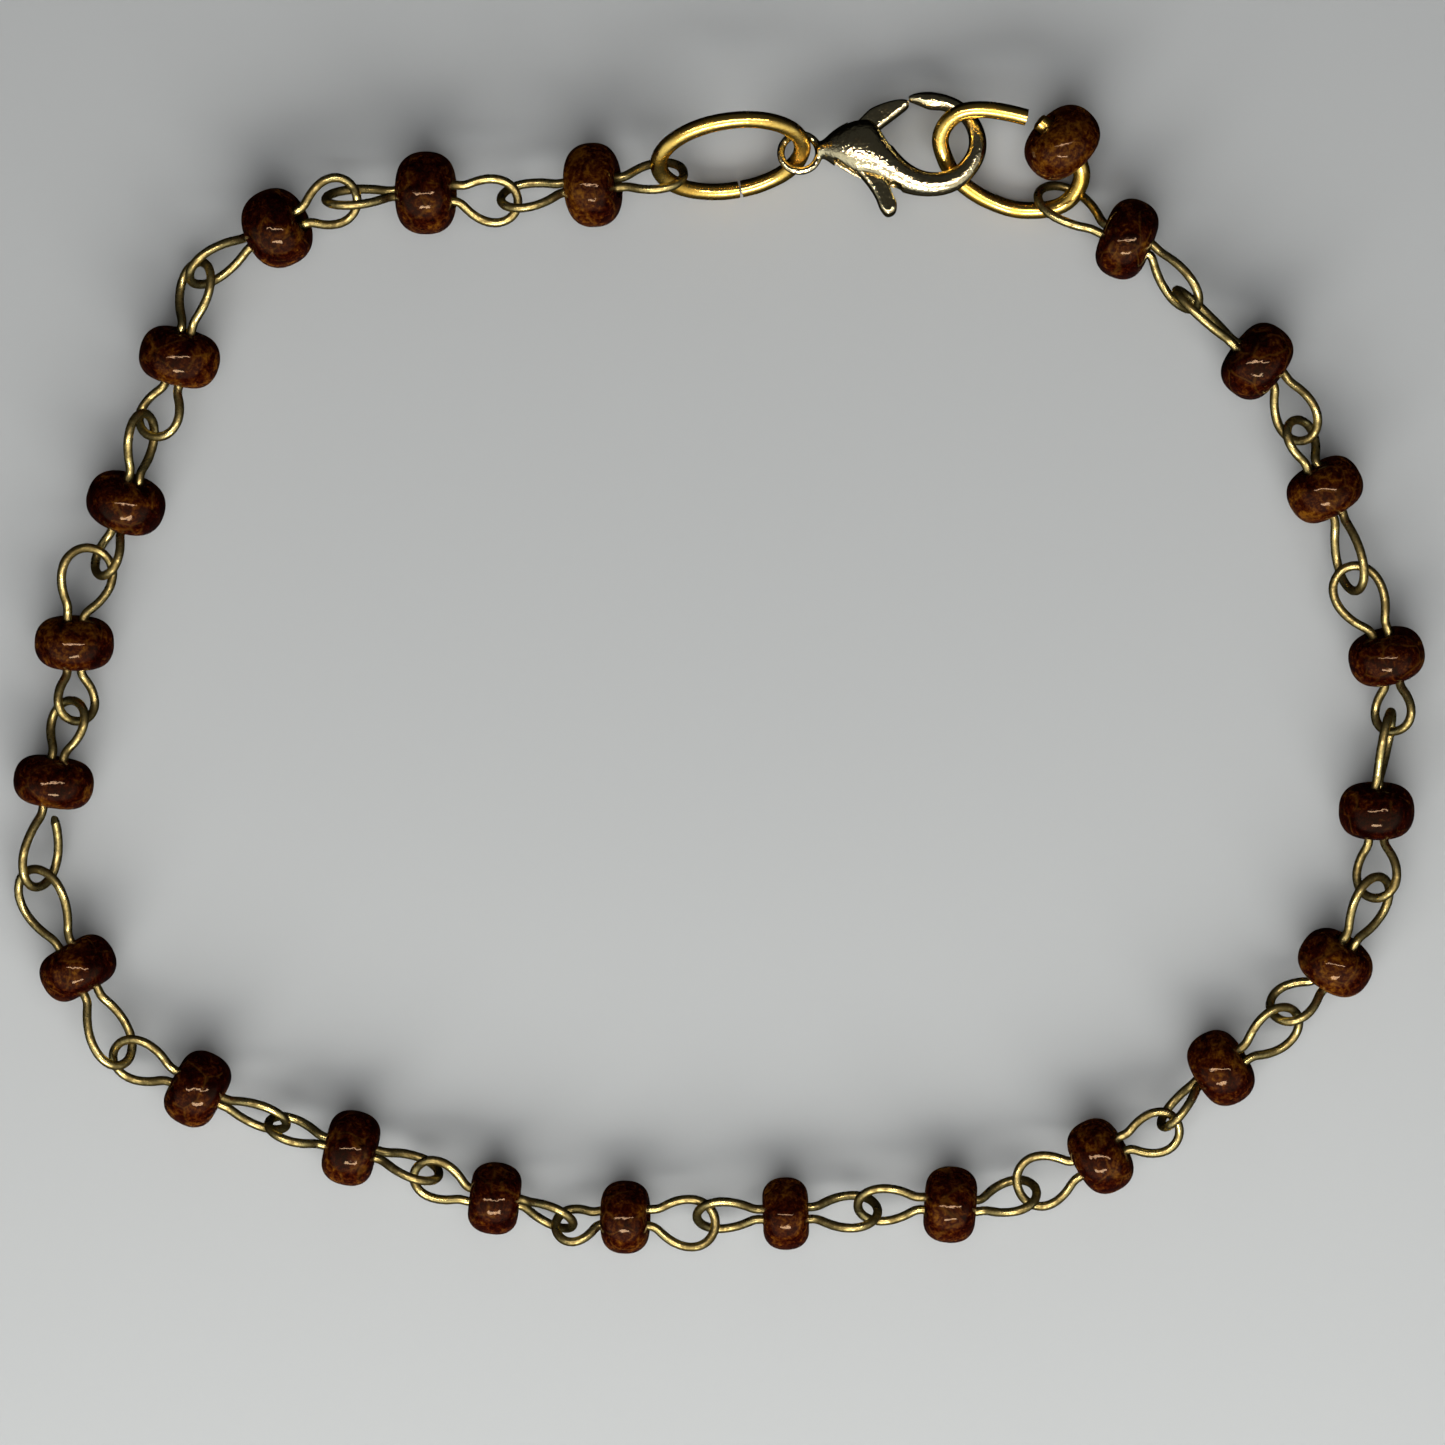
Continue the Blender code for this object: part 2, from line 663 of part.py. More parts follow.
def make_clasp(frame):
    """The lobster clasp: body with eye and hook, sprung lever and rivet."""
    clasp = make_empty("clasp", frame, bracelet)
    body = bpy.data.objects.new("clasp_body", lofted_body())
    place(body, champagne, parent=clasp)
    eye_turn = Matrix.Translation(clasp_place(EYE_PLACE))
    add_boolean(body, make_cutter(eye_mesh(), eye_turn, clasp), "UNION")
    slot = make_plate("slot", [clasp_place(corner) for corner in SLOT_OUTLINE], SLOT_WIDTH)
    add_boolean(body, make_cutter(slot, parent=clasp), "DIFFERENCE")
    rivet_length = SLOT_WIDTH + 2 * RIVET_SEAT
    bore = make_pin("bore", RIVET_DIAMETER + 2 * RIVET_PLAY, rivet_length + 2 * RIVET_PLAY,
                    RIVET_SIDES)
    bore_cutter = make_cutter(bore, parent=clasp)
    add_boolean(body, bore_cutter, "DIFFERENCE")

    outline = [clasp_place(corner) for corner in LEVER_OUTLINE]
    lever = bpy.data.objects.new("clasp_lever", make_plate("lever", outline, LEVER_THICKNESS))
    place(lever, champagne, parent=clasp)
    add_boolean(lever, bore_cutter, "DIFFERENCE")

    rivet_mesh = make_pin("rivet", RIVET_DIAMETER, rivet_length, RIVET_SIDES)
    rivet = bpy.data.objects.new("clasp_rivet", rivet_mesh)
    place(rivet, champagne, parent=clasp)
    for piece in (body, lever, rivet):
        smooth_shading(piece.data)
    return lever


def make_right_ring(clasp):
    """The open jump ring, held in the hook, and its bead; returns the ring's frame."""
    hold = clasp @ clasp_place(HOOK_HOLD)
    turned = ring_frame(Vector((0, 0, 0)), RIGHT_RING_HEADING, RIGHT_RING_TILT)
    offset = turned @ right_ring_point(RING_POINT_IN_HOOK)
    middle = Vector((hold.x - offset.x, hold.y - offset.y, right_ring_height()))
    frame = Matrix.Translation(middle) @ turned
    chosen = [right_ring_point(number) for number in range(len(RIGHT_RING))]
    ring = make_wire("jump_ring_right", smooth_line(chosen, 2), RING_WIRE, RING_BEVEL_STEPS)
    place(ring, gold, frame)

    before = frame @ right_ring_point(RING_POINT_IN_BEAD - 1)
    after = frame @ right_ring_point(RING_POINT_IN_BEAD + 1)
    ahead = after - before
    heading = atan2(ahead.y, ahead.x)
    tilt = asin(ahead.z / ahead.length)
    radius = END_BEAD_GIRTH * BEAD_DIAMETER / 2
    half_length = END_BEAD_LENGTH * BEAD_LENGTH / 2
    threaded = (before + after) / 2
    threaded.z -= END_BEAD_SAG
    bead = turned_bead("end_bead", radius, half_length)
    place(bead, glass, bead_frame(threaded, heading, tilt))
    return frame


def set_down():
    """Move the whole bracelet so that the origin is under its middle, on the table."""
    bpy.context.view_layer.update()
    graph = bpy.context.evaluated_depsgraph_get()
    corners = []
    for piece in parts.objects:
        if piece.type == "EMPTY":
            continue
        shown = piece.evaluated_get(graph)
        mesh = shown.to_mesh()
        corners += [shown.matrix_world @ vertex.co for vertex in mesh.vertices]
        shown.to_mesh_clear()
    low = Vector([min(corner[k] for corner in corners) for k in range(3)])
    high = Vector([max(corner[k] for corner in corners) for k in range(3)])
    middle = (low + high) / 2
    bracelet.location = -Vector((middle.x, middle.y, low.z))
    bpy.context.view_layer.update()
    print("size in mm", [round(side / MM, 3) for side in high - low])


clear_scene()
parts = make_collection("beaded wire bracelet")
cutters = make_collection("cutters")
bracelet = make_empty("bracelet", Matrix.Identity(4))
glass = make_material("amber brown glass", (0.16, 0.055, 0.018), 0.12, 0.0)
brass = make_material("tarnished brass wire", (0.42, 0.31, 0.12), 0.38, 1.0)
gold = make_material("yellow gold", (0.95, 0.66, 0.20), 0.22, 1.0)
champagne = make_material("champagne gold", (0.80, 0.66, 0.42), 0.20, 1.0)
left_frame = make_left_ring()
hook_frame = clasp_frame(left_frame)
lever_piece = make_clasp(hook_frame)
right_frame = make_right_ring(hook_frame)
left_wire = left_frame @ left_ring_point(pi)
right_wire = right_frame @ right_ring_point(RING_POINT_IN_LINK)
make_chain(end_tip(left_wire, FIRST_HOOK), end_tip(right_wire, LAST_HOOK))
set_down()
print("lever axis at", [round(x, 6) for x in lever_piece.matrix_world.translation],
      "along", [round(x, 4) for x in lever_piece.matrix_world.col[2][:3]])
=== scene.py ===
# %% [markdown]
# # A bracelet of glass beads on hooked wire links
#
# The real bracelet is 22 dark amber glass beads. Each sits on a link of brass wire
# whose two loops hook into the next links, and a lobster clasp with two jump rings
# closes the chain. It lies fastened in a loop on a table, seen from straight above.
# The imported model already holds every piece at its true size, so it could be shown as
# it is, but its wires have six sides and its beads twelve. This lesson builds a finer
# piece over each of them, in the same place, and then gives the glass and the metals
# their finish. The first step loads the imported model.

# %% Load the imported model
from collections import namedtuple
from math import acos, asin, atan2, cos, pi, radians, sin

import bmesh
import bpy
from mathutils import Matrix, Vector, noise


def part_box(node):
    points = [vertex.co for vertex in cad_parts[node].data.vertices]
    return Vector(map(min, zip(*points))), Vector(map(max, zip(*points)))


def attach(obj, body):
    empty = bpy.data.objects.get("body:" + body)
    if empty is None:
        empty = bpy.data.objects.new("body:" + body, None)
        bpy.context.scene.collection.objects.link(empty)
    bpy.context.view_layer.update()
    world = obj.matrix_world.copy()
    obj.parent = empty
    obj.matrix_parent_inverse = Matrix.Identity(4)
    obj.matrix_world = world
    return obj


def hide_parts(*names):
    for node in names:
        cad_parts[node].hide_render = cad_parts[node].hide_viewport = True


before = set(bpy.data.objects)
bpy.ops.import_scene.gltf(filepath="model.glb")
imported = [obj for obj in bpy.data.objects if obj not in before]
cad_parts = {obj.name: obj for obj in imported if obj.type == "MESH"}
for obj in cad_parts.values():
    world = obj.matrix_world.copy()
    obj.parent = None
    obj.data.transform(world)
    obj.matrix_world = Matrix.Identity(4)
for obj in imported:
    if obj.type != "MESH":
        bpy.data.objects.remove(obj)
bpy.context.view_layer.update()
print("nodes", len(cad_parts))

# %% [markdown]
# The sizes come first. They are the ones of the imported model's own source, in metres,
# and they are written out again here because this script can read no other file.
# Two things differ: these pieces have many more facets, and the clasp's cross section
# is a little rounder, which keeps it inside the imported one.

# %% Sizes
MM = 0.001
UP = Vector((0, 0, 1))
BEAD_DIAMETER = 0.0040
BEAD_LENGTH = 0.0027
BEAD_SQUARENESS = 2.3
LINK_WIRE = 0.00046
BEAD_HOLE = 0.00156
HOLE_LEAN = 0.00002
STRAND_OFFSET = 0.00041
LOOP_WIDTH = 0.0023
LOOP_FULLNESS = 0.86
LOOP_PINCH = 0.6
NECK_TURN = radians(38)
MOUTH_REACH = 0.0001
TAIL_DEPTH = 0.0007
SHORT_TAIL = 0.0006
RING_WIRE = 0.00085
RING_LENGTH = 0.00725
LEFT_RING_WIDTH = 0.0049
RIGHT_RING_WIDTH = 0.00555
RING_SEAM = 0.0001
CLASP_LENGTH = 0.0104
CLASP_DEPTH = 0.00235
EYE_HOLE = 0.0015
EYE_RIM = 0.0004
EYE_SHIFT = 0.00008
LEVER_THICKNESS = 0.0009
LEVER_PLAY = 0.0001
RIVET_DIAMETER = 0.0006
RIVET_PLAY = 0.00005
RIVET_SEAT = 0.00035
LEFT_RING_HEADING = radians(8.7)
LEFT_RING_TILT = radians(48)
LEFT_RING_SEAM_AT = radians(-86)
RIGHT_RING_HEADING = radians(-9)
RIGHT_RING_TILT = radians(29)
EYE_ON_RING_AT = radians(-13)
CLASP_LEAN = radians(12)
print("bead", BEAD_DIAMETER, "link wire", LINK_WIRE, "clasp", CLASP_LENGTH)

# %% [markdown]
# The route of the chain is the bracelet's lay on the table. It is given here, and
# it could be relaxed by a simulation instead, but a simulation would settle into some
# other lay than the one that is wanted. So each bead is given by its place, heading
# and tilt, and each link by the two places where its loops hook into its neighbours.

# %% The route of the chain
Bead = namedtuple("Bead", "x_mm y_mm heading_deg tilt_deg girth length")
BEADS = [
    Bead(-6.33, 24.35, 184, -12, 1.06, 0.96),
    Bead(-14.68, 23.95, 180, -8, 1.04, 1.05),
    Bead(-22.12, 22.20, 203, -20, 1.00, 1.02),
    Bead(-27.00, 15.75, 255, -8, 1.02, 1.00),
    Bead(-29.68, 8.45, 250, -16, 1.00, 0.96),
    Bead(-32.25, 1.45, 268, -10, 1.00, 0.93),
    Bead(-33.29, -5.50, 261, -5, 1.01, 0.91),
    Bead(-32.08, -14.80, 300, 0, 0.99, 0.95),
    Bead(-26.10, -20.85, 332, 0, 0.97, 0.98),
    Bead(-18.43, -23.80, 347, 0, 0.95, 0.96),
    Bead(-11.24, -26.33, 353, 0, 0.91, 0.93),
    Bead(-4.71, -27.26, 0, 6, 0.92, 0.87),
    Bead(3.31, -27.09, 2, 0, 0.91, 0.85),
    Bead(11.54, -26.64, -4, 0, 0.96, 0.96),
    Bead(19.05, -24.20, 30, 9, 0.97, 0.93),
    Bead(25.08, -19.80, 31, 10, 0.97, 0.95),
    Bead(30.80, -14.53, 57, 18, 0.96, 0.93),
    Bead(32.86, -6.94, 90, 12, 0.95, 0.96),
    Bead(33.36, 0.78, 105, 15, 0.96, 0.91),
    Bead(30.27, 9.13, 120, 9, 0.97, 0.96),
    Bead(26.88, 15.54, 143, 6, 1.00, 0.98),
    Bead(20.38, 21.64, 158, -4, 1.03, 0.93),
]
Hook = namedtuple("Hook", "x_mm y_mm roll_deg width")
Crossing = namedtuple("Crossing", "before after")
CROSSINGS = [
    Crossing(Hook(-10.93, 23.55, -52, 0.90), Hook(-10.08, 23.30, 12, 0.97)),
    Crossing(Hook(-19.70, 23.60, -67, 1.00), Hook(-18.20, 24.05, 26, 1.08)),
    Crossing(Hook(-26.48, 19.60, 56, 1.00), Hook(-25.95, 20.53, -48, 1.00)),
    Crossing(Hook(-28.43, 11.78, -30, 1.00), Hook(-28.69, 12.94, 55, 0.90)),
    Crossing(Hook(-30.93, 4.80, -54, 0.85), Hook(-31.25, 6.17, 18, 1.15)),
    Crossing(Hook(-32.08, -2.48, 38, 1.00), Hook(-32.27, -1.43, -42, 1.00)),
    Crossing(Hook(-34.25, -10.78, 46, 1.00), Hook(-34.60, -9.93, -37, 1.20)),
    Crossing(Hook(-29.85, -19.65, 30, 0.95), Hook(-30.28, -18.90, -38, 1.12)),
    Crossing(Hook(-21.65, -22.68, -61, 1.00), Hook(-22.55, -22.50, 63, 1.00)),
    Crossing(Hook(-14.03, -25.20, 64, 1.00), Hook(-15.23, -24.90, -30, 0.96)),
    Crossing(Hook(-7.33, -27.70, -66, 1.00), Hook(-8.18, -27.95, 36, 1.00)),
    Crossing(Hook(-0.20, -27.75, 6, 1.05), Hook(-1.15, -27.20, -53, 1.05)),
    Crossing(Hook(7.93, -26.95, 51, 1.08), Hook(6.90, -26.70, -40, 0.97)),
    Crossing(Hook(15.85, -25.88, 52, 1.03), Hook(14.93, -25.85, -6, 1.12)),
    Crossing(Hook(22.98, -22.69, -20, 0.96), Hook(22.15, -22.75, 74, 0.95)),
    Crossing(Hook(28.88, -17.09, -38, 1.06), Hook(27.71, -17.15, 40, 1.00)),
    Crossing(Hook(33.23, -10.30, -44, 1.00), Hook(32.88, -11.33, 34, 1.02)),
    Crossing(Hook(33.60, -1.98, -79, 1.00), Hook(33.70, -3.00, 37, 1.02)),
    Crossing(Hook(31.25, 5.18, 0, 1.05), Hook(31.88, 4.05, 60, 1.00)),
    Crossing(Hook(28.75, 12.60, -48, 1.05), Hook(29.40, 11.61, 26, 0.95)),
    Crossing(Hook(22.83, 19.10, -77, 1.00), Hook(23.81, 18.18, 56, 0.98)),
]
EndHook = namedtuple("EndHook", "x_mm y_mm z_mm roll_deg width")
FIRST_HOOK = EndHook(1.25, -0.25, 0.00, -52, 1.00)
LAST_HOOK = EndHook(-0.01, 1.05, 0.36, -50, 1.17)
SHORT_TAIL_LINK = 7
print("beads", len(BEADS), "crossings", len(CROSSINGS))

# %% [markdown]
# The rings and the clasp have shapes of their own. The left ring is a clean oval. The
# right ring was opened by hand, so its centre line is drawn point by point. The clasp
# is a row of cross sections from its neck round to the hook's tip, in shares of its
# own length, with outlines for the lever and for the slot that the lever swings in.

# %% The shapes of the rings and the clasp
LEFT_RING_MM = (0.55, 25.80)
RingPoint = namedtuple("RingPoint", "along across")
RIGHT_RING = [
    RingPoint(0.10, 0.87),
    RingPoint(-0.14, 0.90),
    RingPoint(-0.47, 0.90),
    RingPoint(-0.78, 0.79),
    RingPoint(-0.97, 0.53),
    RingPoint(-1.03, 0.16),
    RingPoint(-0.92, -0.19),
    RingPoint(-0.78, -0.47),
    RingPoint(-0.55, -0.70),
    RingPoint(-0.25, -0.88),
    RingPoint(0.14, -0.98),
    RingPoint(0.52, -0.91),
    RingPoint(0.78, -0.75),
    RingPoint(0.93, -0.50),
    RingPoint(0.99, -0.21),
    RingPoint(0.96, 0.05),
    RingPoint(0.84, 0.28),
    RingPoint(0.64, 0.52),
    RingPoint(0.44, 0.70),
    RingPoint(0.28, 0.83),
]
RING_POINT_IN_HOOK = 5
RING_POINT_IN_LINK = 11
RING_POINT_IN_BEAD = 17
END_BEAD_GIRTH = 1.02
END_BEAD_LENGTH = 0.96
EYE_PLACE = (-0.231, -0.010)
HOOK_HOLD = (0.442, 0.053)
Section = namedtuple("Section", "x y heading_deg width depth")
CLASP_SECTIONS = [
    Section(-0.149, 0.000, 3, 0.077, 0.34),
    Section(-0.115, 0.007, 3, 0.096, 0.47),
    Section(-0.072, 0.012, 2, 0.163, 0.68),
    Section(-0.024, 0.014, 0, 0.226, 0.86),
    Section(0.029, 0.014, -3, 0.279, 0.97),
    Section(0.087, 0.005, -14, 0.298, 1.00),
    Section(0.139, -0.043, -30, 0.221, 0.95),
    Section(0.197, -0.087, -34, 0.173, 0.85),
    Section(0.264, -0.130, -28, 0.144, 0.70),
    Section(0.346, -0.161, -14, 0.125, 0.57),
    Section(0.433, -0.166, 3, 0.115, 0.49),
    Section(0.510, -0.144, 26, 0.106, 0.45),
    Section(0.572, -0.091, 52, 0.096, 0.43),
    Section(0.615, -0.019, 78, 0.091, 0.43),
    Section(0.623, 0.062, 97, 0.084, 0.43),
    Section(0.596, 0.139, 117, 0.077, 0.43),
    Section(0.543, 0.200, 140, 0.075, 0.40),
    Section(0.471, 0.236, 163, 0.079, 0.40),
    Section(0.394, 0.248, 176, 0.087, 0.40),
    Section(0.332, 0.257, 184, 0.058, 0.32),
    Section(0.293, 0.257, 186, 0.029, 0.21),
]
SECTION_SQUARENESS = 2.15
Corner = namedtuple("Corner", "x y")
LEVER_OUTLINE = [
    Corner(0.274, 0.250),
    Corner(0.197, 0.240),
    Corner(0.115, 0.207),
    Corner(0.072, 0.168),
    Corner(-0.029, 0.062),
    Corner(-0.062, 0.000),
    Corner(-0.043, -0.048),
    Corner(0.038, -0.106),
    Corner(0.096, -0.173),
    Corner(0.134, -0.236),
    Corner(0.154, -0.288),
    Corner(0.187, -0.325),
    Corner(0.226, -0.310),
    Corner(0.236, -0.265),
    Corner(0.213, -0.212),
    Corner(0.183, -0.135),
    Corner(0.082, -0.038),
    Corner(0.087, 0.029),
    Corner(0.149, 0.101),
    Corner(0.226, 0.163),
    Corner(0.293, 0.221),
]
SLOT_OUTLINE = [
    Corner(-0.087, 0.000),
    Corner(-0.062, 0.072),
    Corner(0.000, 0.135),
    Corner(0.038, 0.240),
    Corner(0.192, 0.337),
    Corner(0.278, 0.300),
    Corner(0.302, 0.215),
    Corner(0.346, 0.106),
    Corner(0.202, 0.014),
    Corner(0.135, -0.024),
    Corner(0.173, -0.077),
    Corner(0.255, -0.183),
    Corner(0.288, -0.385),
    Corner(0.048, -0.409),
    Corner(-0.019, -0.288),
    Corner(-0.029, -0.183),
    Corner(-0.058, -0.077),
]
print("clasp sections", len(CLASP_SECTIONS), "lever corners", len(LEVER_OUTLINE))

# %% [markdown]
# Every finer piece needs the same few tools: a smooth line through given points, an
# even and gently relaxed wire line, and a tube swept along it. Blender's curves could
# make the tubes too. A swept mesh is used here because its end caps and its slight
# unevenness, which drawn wire always has, are easy to add.

# %% Lines
def smooth_line(points, per_span):
    """A curve through the points, with per_span steps between each two of them."""
    ends = [2 * points[0] - points[1], *points, 2 * points[-1] - points[-2]]
    line = []
    for before, start, end, after in zip(ends, ends[1:], ends[2:], ends[3:]):
        for step in range(per_span):
            t = step / per_span
            bend = 2 * before - 5 * start + 4 * end - after
            twist = 3 * start - before - 3 * end + after
            line.append(start + 0.5 * (t * (end - before) + t * t * bend + t ** 3 * twist))
    line.append(points[-1])
    return line


def even_line(points, step):
    """The same line with its points evenly spaced."""
    reach = [0.0]
    for near, far in zip(points, points[1:]):
        reach.append(reach[-1] + (far - near).length)
    count = max(2, round(reach[-1] / step))
    line, span = [], 0
    for number in range(count + 1):
        target = reach[-1] * number / count
        while span < len(points) - 2 and reach[span + 1] < target:
            span += 1
        share = (target - reach[span]) / max(reach[span + 1] - reach[span], 1e-9)
        line.append(points[span].lerp(points[span + 1], min(max(share, 0), 1)))
    return line


def relaxed_line(line, passes):
    """Ease the kinks out of a line, with its ends held."""
    for _ in range(passes):
        eased = [(a + 2 * b + c) / 4 for a, b, c in zip(line, line[1:], line[2:])]
        line = [line[0], *eased, line[-1]]
    return line


def signed_power(value, power):
    """A power that keeps the value's sign."""
    return abs(value) ** power * (1 if value > 0 else -1)

# %% Tubes
BUMPS_PER_METRE = 900
BUMPS_ROUND_WIRE = 0.7
END_DOME = 0.12


def tube_mesh(name, line, radius, sides, uneven=0.0):
    """A round wire along the line, a little uneven, with slightly domed ends."""
    ahead = (line[1] - line[0]).normalized()
    side = ahead.orthogonal().normalized()
    corners, faces = [], []
    for number, point in enumerate(line):
        before = line[max(number - 1, 0)]
        after = line[min(number + 1, len(line) - 1)]
        turned = (after - before).normalized()
        side = (ahead.rotation_difference(turned) @ side).normalized()
        ahead = turned
        over = ahead.cross(side)
        for step in range(sides):
            turn = 2 * pi * step / sides
            out = cos(turn) * side + sin(turn) * over
            spot = point * BUMPS_PER_METRE + out * BUMPS_ROUND_WIRE
            swell = 1 + uneven * noise.noise(spot)
            corners.append(point + out * radius * swell)
    for ring in range(len(line) - 1):
        for step in range(sides):
            after = (step + 1) % sides
            near, far = ring * sides, (ring + 1) * sides
            faces.append((near + step, near + after, far + after, far + step))
    for end, way in ((0, -1), (len(line) - 1, 1)):
        rim = [end * sides + step for step in range(sides)]
        tip = (line[1] - line[0]) if end == 0 else (line[-1] - line[-2])
        corners.append(line[end] + way * tip.normalized() * radius * END_DOME)
        for step in range(sides):
            edge = (rim[step], rim[(step + 1) % sides])
            faces.append((*(edge if way > 0 else edge[::-1]), len(corners) - 1))
    mesh = bpy.data.meshes.new(name)
    mesh.from_pydata(corners, [], faces)
    mesh.update()
    return mesh

# %% [markdown]
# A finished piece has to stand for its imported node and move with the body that
# carries it. One helper does that for all of them: it moves the mesh to its place in
# the shared frame, shades it smoothly, hides the plain node, and names the body and
# the finish. The whole bracelet was set down on its middle when it was packed, and
# bead 8, which lies level, tells how far that moved it.

# %% Put a piece in its place
PACKED_BEAD_STEPS = 7
SHARP_EDGE = radians(50)


def bead_outline(radius, half_length, steps):
    """Half a bead's section: it bulges from one rim of the hole to the other."""
    hole = BEAD_HOLE / 2
    outline = []
    for step in range(steps + 1):
        turn = pi * step / steps
        along = half_length * signed_power(cos(turn), 2 / BEAD_SQUARENESS)
        out = hole + (radius - hole) * abs(sin(turn)) ** (2 / BEAD_SQUARENESS)
        outline.append((out, along))
    return outline


def rest_height(radius, half_length, tilt):
    """How high a bead's middle is when the bead rests on the table."""
    outline = bead_outline(radius, half_length, PACKED_BEAD_STEPS)
    return max(out * cos(tilt) + along * sin(tilt) for out, along in outline)


level_bead = BEADS[7]
level_radius = level_bead.girth * BEAD_DIAMETER / 2
level_height = rest_height(level_radius, level_bead.length * BEAD_LENGTH / 2, 0)
level_low, level_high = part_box("bead_08")
level_place = Vector((level_bead.x_mm * MM, level_bead.y_mm * MM, level_height))
SET_DOWN = (level_low + level_high) / 2 - level_place
print("set down by", [round(v / MM, 3) for v in SET_DOWN], "mm")


def finished(name, mesh, finish, node, body="bracelet", matrix=Matrix.Identity(4)):
    """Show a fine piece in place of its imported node."""
    mesh.transform(Matrix.Translation(SET_DOWN) @ matrix)
    mesh.shade_smooth()
    mesh.set_sharp_from_angle(angle=SHARP_EDGE)
    mesh.materials.append(finish)
    piece = bpy.data.objects.new(name, mesh)
    bpy.context.scene.collection.objects.link(piece)
    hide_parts(node)
    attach(piece, body)

# %% [markdown]
# Before any finish is mixed, two small classes make shader maths readable. A Mask is
# one value from a node, and adding or multiplying masks adds the Math nodes. A Finish
# is a material with one method that makes any other node. The same could be wired by
# hand in the shader editor, but an expression shows at a glance what it does.

# %% Shader maths
class Mask:
    """A value in a material, with the arithmetic that adds its Math nodes."""

    def __init__(self, finish, socket):
        self.finish = finish
        self.socket = socket

    def math(self, operation, first, second):
        """One Math node."""
        return self.finish.node("Math", {"operation": operation}, {0: first, 1: second})

    def __add__(self, other):
        return self.math("ADD", self, other)

    def __radd__(self, other):
        return self.math("ADD", other, self)

    def __sub__(self, other):
        return self.math("SUBTRACT", self, other)

    def __rsub__(self, other):
        return self.math("SUBTRACT", other, self)

    def __mul__(self, other):
        return self.math("MULTIPLY", self, other)

    def __rmul__(self, other):
        return self.math("MULTIPLY", other, self)


class Finish:
    """A material that is being mixed."""

    def __init__(self, name, **constants):
        self.material = bpy.data.materials.new(name)
        self.material.use_nodes = True
        self.tree = self.material.node_tree
        self.shader = self.tree.nodes["Principled BSDF"]
        for socket, value in constants.items():
            self.shader.inputs[socket.replace("_", " ")].default_value = value

    def connect(self, socket, value):
        """Link a mask to a socket, or set the socket's own value."""
        if isinstance(value, Mask):
            self.tree.links.new(value.socket, socket)
        else:
            socket.default_value = value

    def node(self, kind, settings, sockets, output=0):
        """Any node: its settings are set first, then its sockets."""
        node = self.tree.nodes.new("ShaderNode" + kind)
        for setting, value in settings.items():
            if setting == "stops":
                set_stops(node.color_ramp, value)
            else:
                setattr(node, setting, value)
        for socket, value in sockets.items():
            self.connect(node.inputs[socket], value)
        return Mask(self, node.outputs[output])

    def place(self):
        """Where a point lies in the shared frame, in metres."""
        return self.node("TexCoord", {}, {}, "Object")

    def clouds(self, place, grain_mm, detail=3.0, distortion=0.0, roughness=0.55):
        """Cloudy noise from 0 to 1 with features about grain_mm across."""
        sockets = {"Vector": place, "Scale": 1000 / grain_mm, "Detail": detail,
                   "Roughness": roughness, "Distortion": distortion}
        return self.node("TexNoise", {}, sockets, "Fac")

    def between(self, value, low, high):
        """0 below low, 1 above high, and smooth between."""
        sockets = {"Value": value, "From Min": low, "From Max": high}
        return self.node("MapRange", {"interpolation_type": "SMOOTHSTEP"}, sockets)

    def mixed(self, factor, first, second):
        """One colour fading into another."""
        settings = {"data_type": "RGBA"}
        return self.node("Mix", settings, {"Factor": factor, 6: first, 7: second}, 2)

    def relief(self, height, depth):
        """Bump of the given depth in metres."""
        sockets = {"Height": height, "Distance": depth, "Strength": 1.0}
        self.connect(self.shader.inputs["Normal"], self.node("Bump", {}, sockets))

    def paint(self, socket, value):
        """Drive one of the shader's own sockets."""
        self.connect(self.shader.inputs[socket], value)


def set_stops(ramp, stops):
    """Give a colour ramp its stops, as (place, colour) pairs."""
    while len(ramp.elements) < len(stops):
        ramp.elements.new(0.5)
    for element, (place, colour) in zip(ramp.elements, stops):
        element.position = place
        element.color = (*colour, 1)


print("shader helpers ready")

# %% [markdown]
# ## The glass
# The beads are pressed glass in which dark red-brown and honey yellow were stirred but
# not mixed: large clouds, smaller curdled patches inside them, and a few thin yellow
# veins. Real glass like this lets a little light through, and refraction could be
# traced, but the mix is so dense that a glossy solid colour looks the same and renders
# much faster. Its reflections are kept weak and warm, so that they don't lay a grey
# haze over so dark a colour. The pattern follows the shared frame, so no two beads get
# the same one.

# %% Mix the amber glass
VEINS_PER_METRE = 620.0
VEIN_BENDS_PER_METRE = 700.0
VEIN_WOBBLE = 0.0006
VEIN_WIDTH = 0.055
VEIN_STRENGTH = 0.25
VEIN_COLOUR = (0.20, 0.085, 0.011, 1)
glass = Finish("amber brown glass", IOR=1.52, Specular_IOR_Level=0.15,
               Specular_Tint=(1.0, 0.70, 0.42, 1))
spot = glass.place()
batch = glass.clouds(spot, grain_mm=9.0, detail=1.0)
swirl = glass.clouds(spot, grain_mm=1.5, detail=4.0, distortion=1.4, roughness=0.6)
curd = glass.clouds(spot, grain_mm=0.24, detail=3.0, distortion=0.4, roughness=0.65)
depth_of_colour = swirl * 0.52 + curd * 0.48 + (batch - 0.5) * 0.30
body_colour = glass.node("ValToRGB", {"stops": [
    (0.39, (0.006, 0.0004, 0.0002)),
    (0.48, (0.018, 0.0014, 0.0003)),
    (0.53, (0.036, 0.0047, 0.0006)),
    (0.59, (0.076, 0.0190, 0.0016)),
    (0.67, (0.175, 0.0600, 0.0038)),
]}, {"Fac": depth_of_colour})
bends = glass.node("TexNoise", {}, {"Vector": spot, "Scale": VEIN_BENDS_PER_METRE}, "Color")
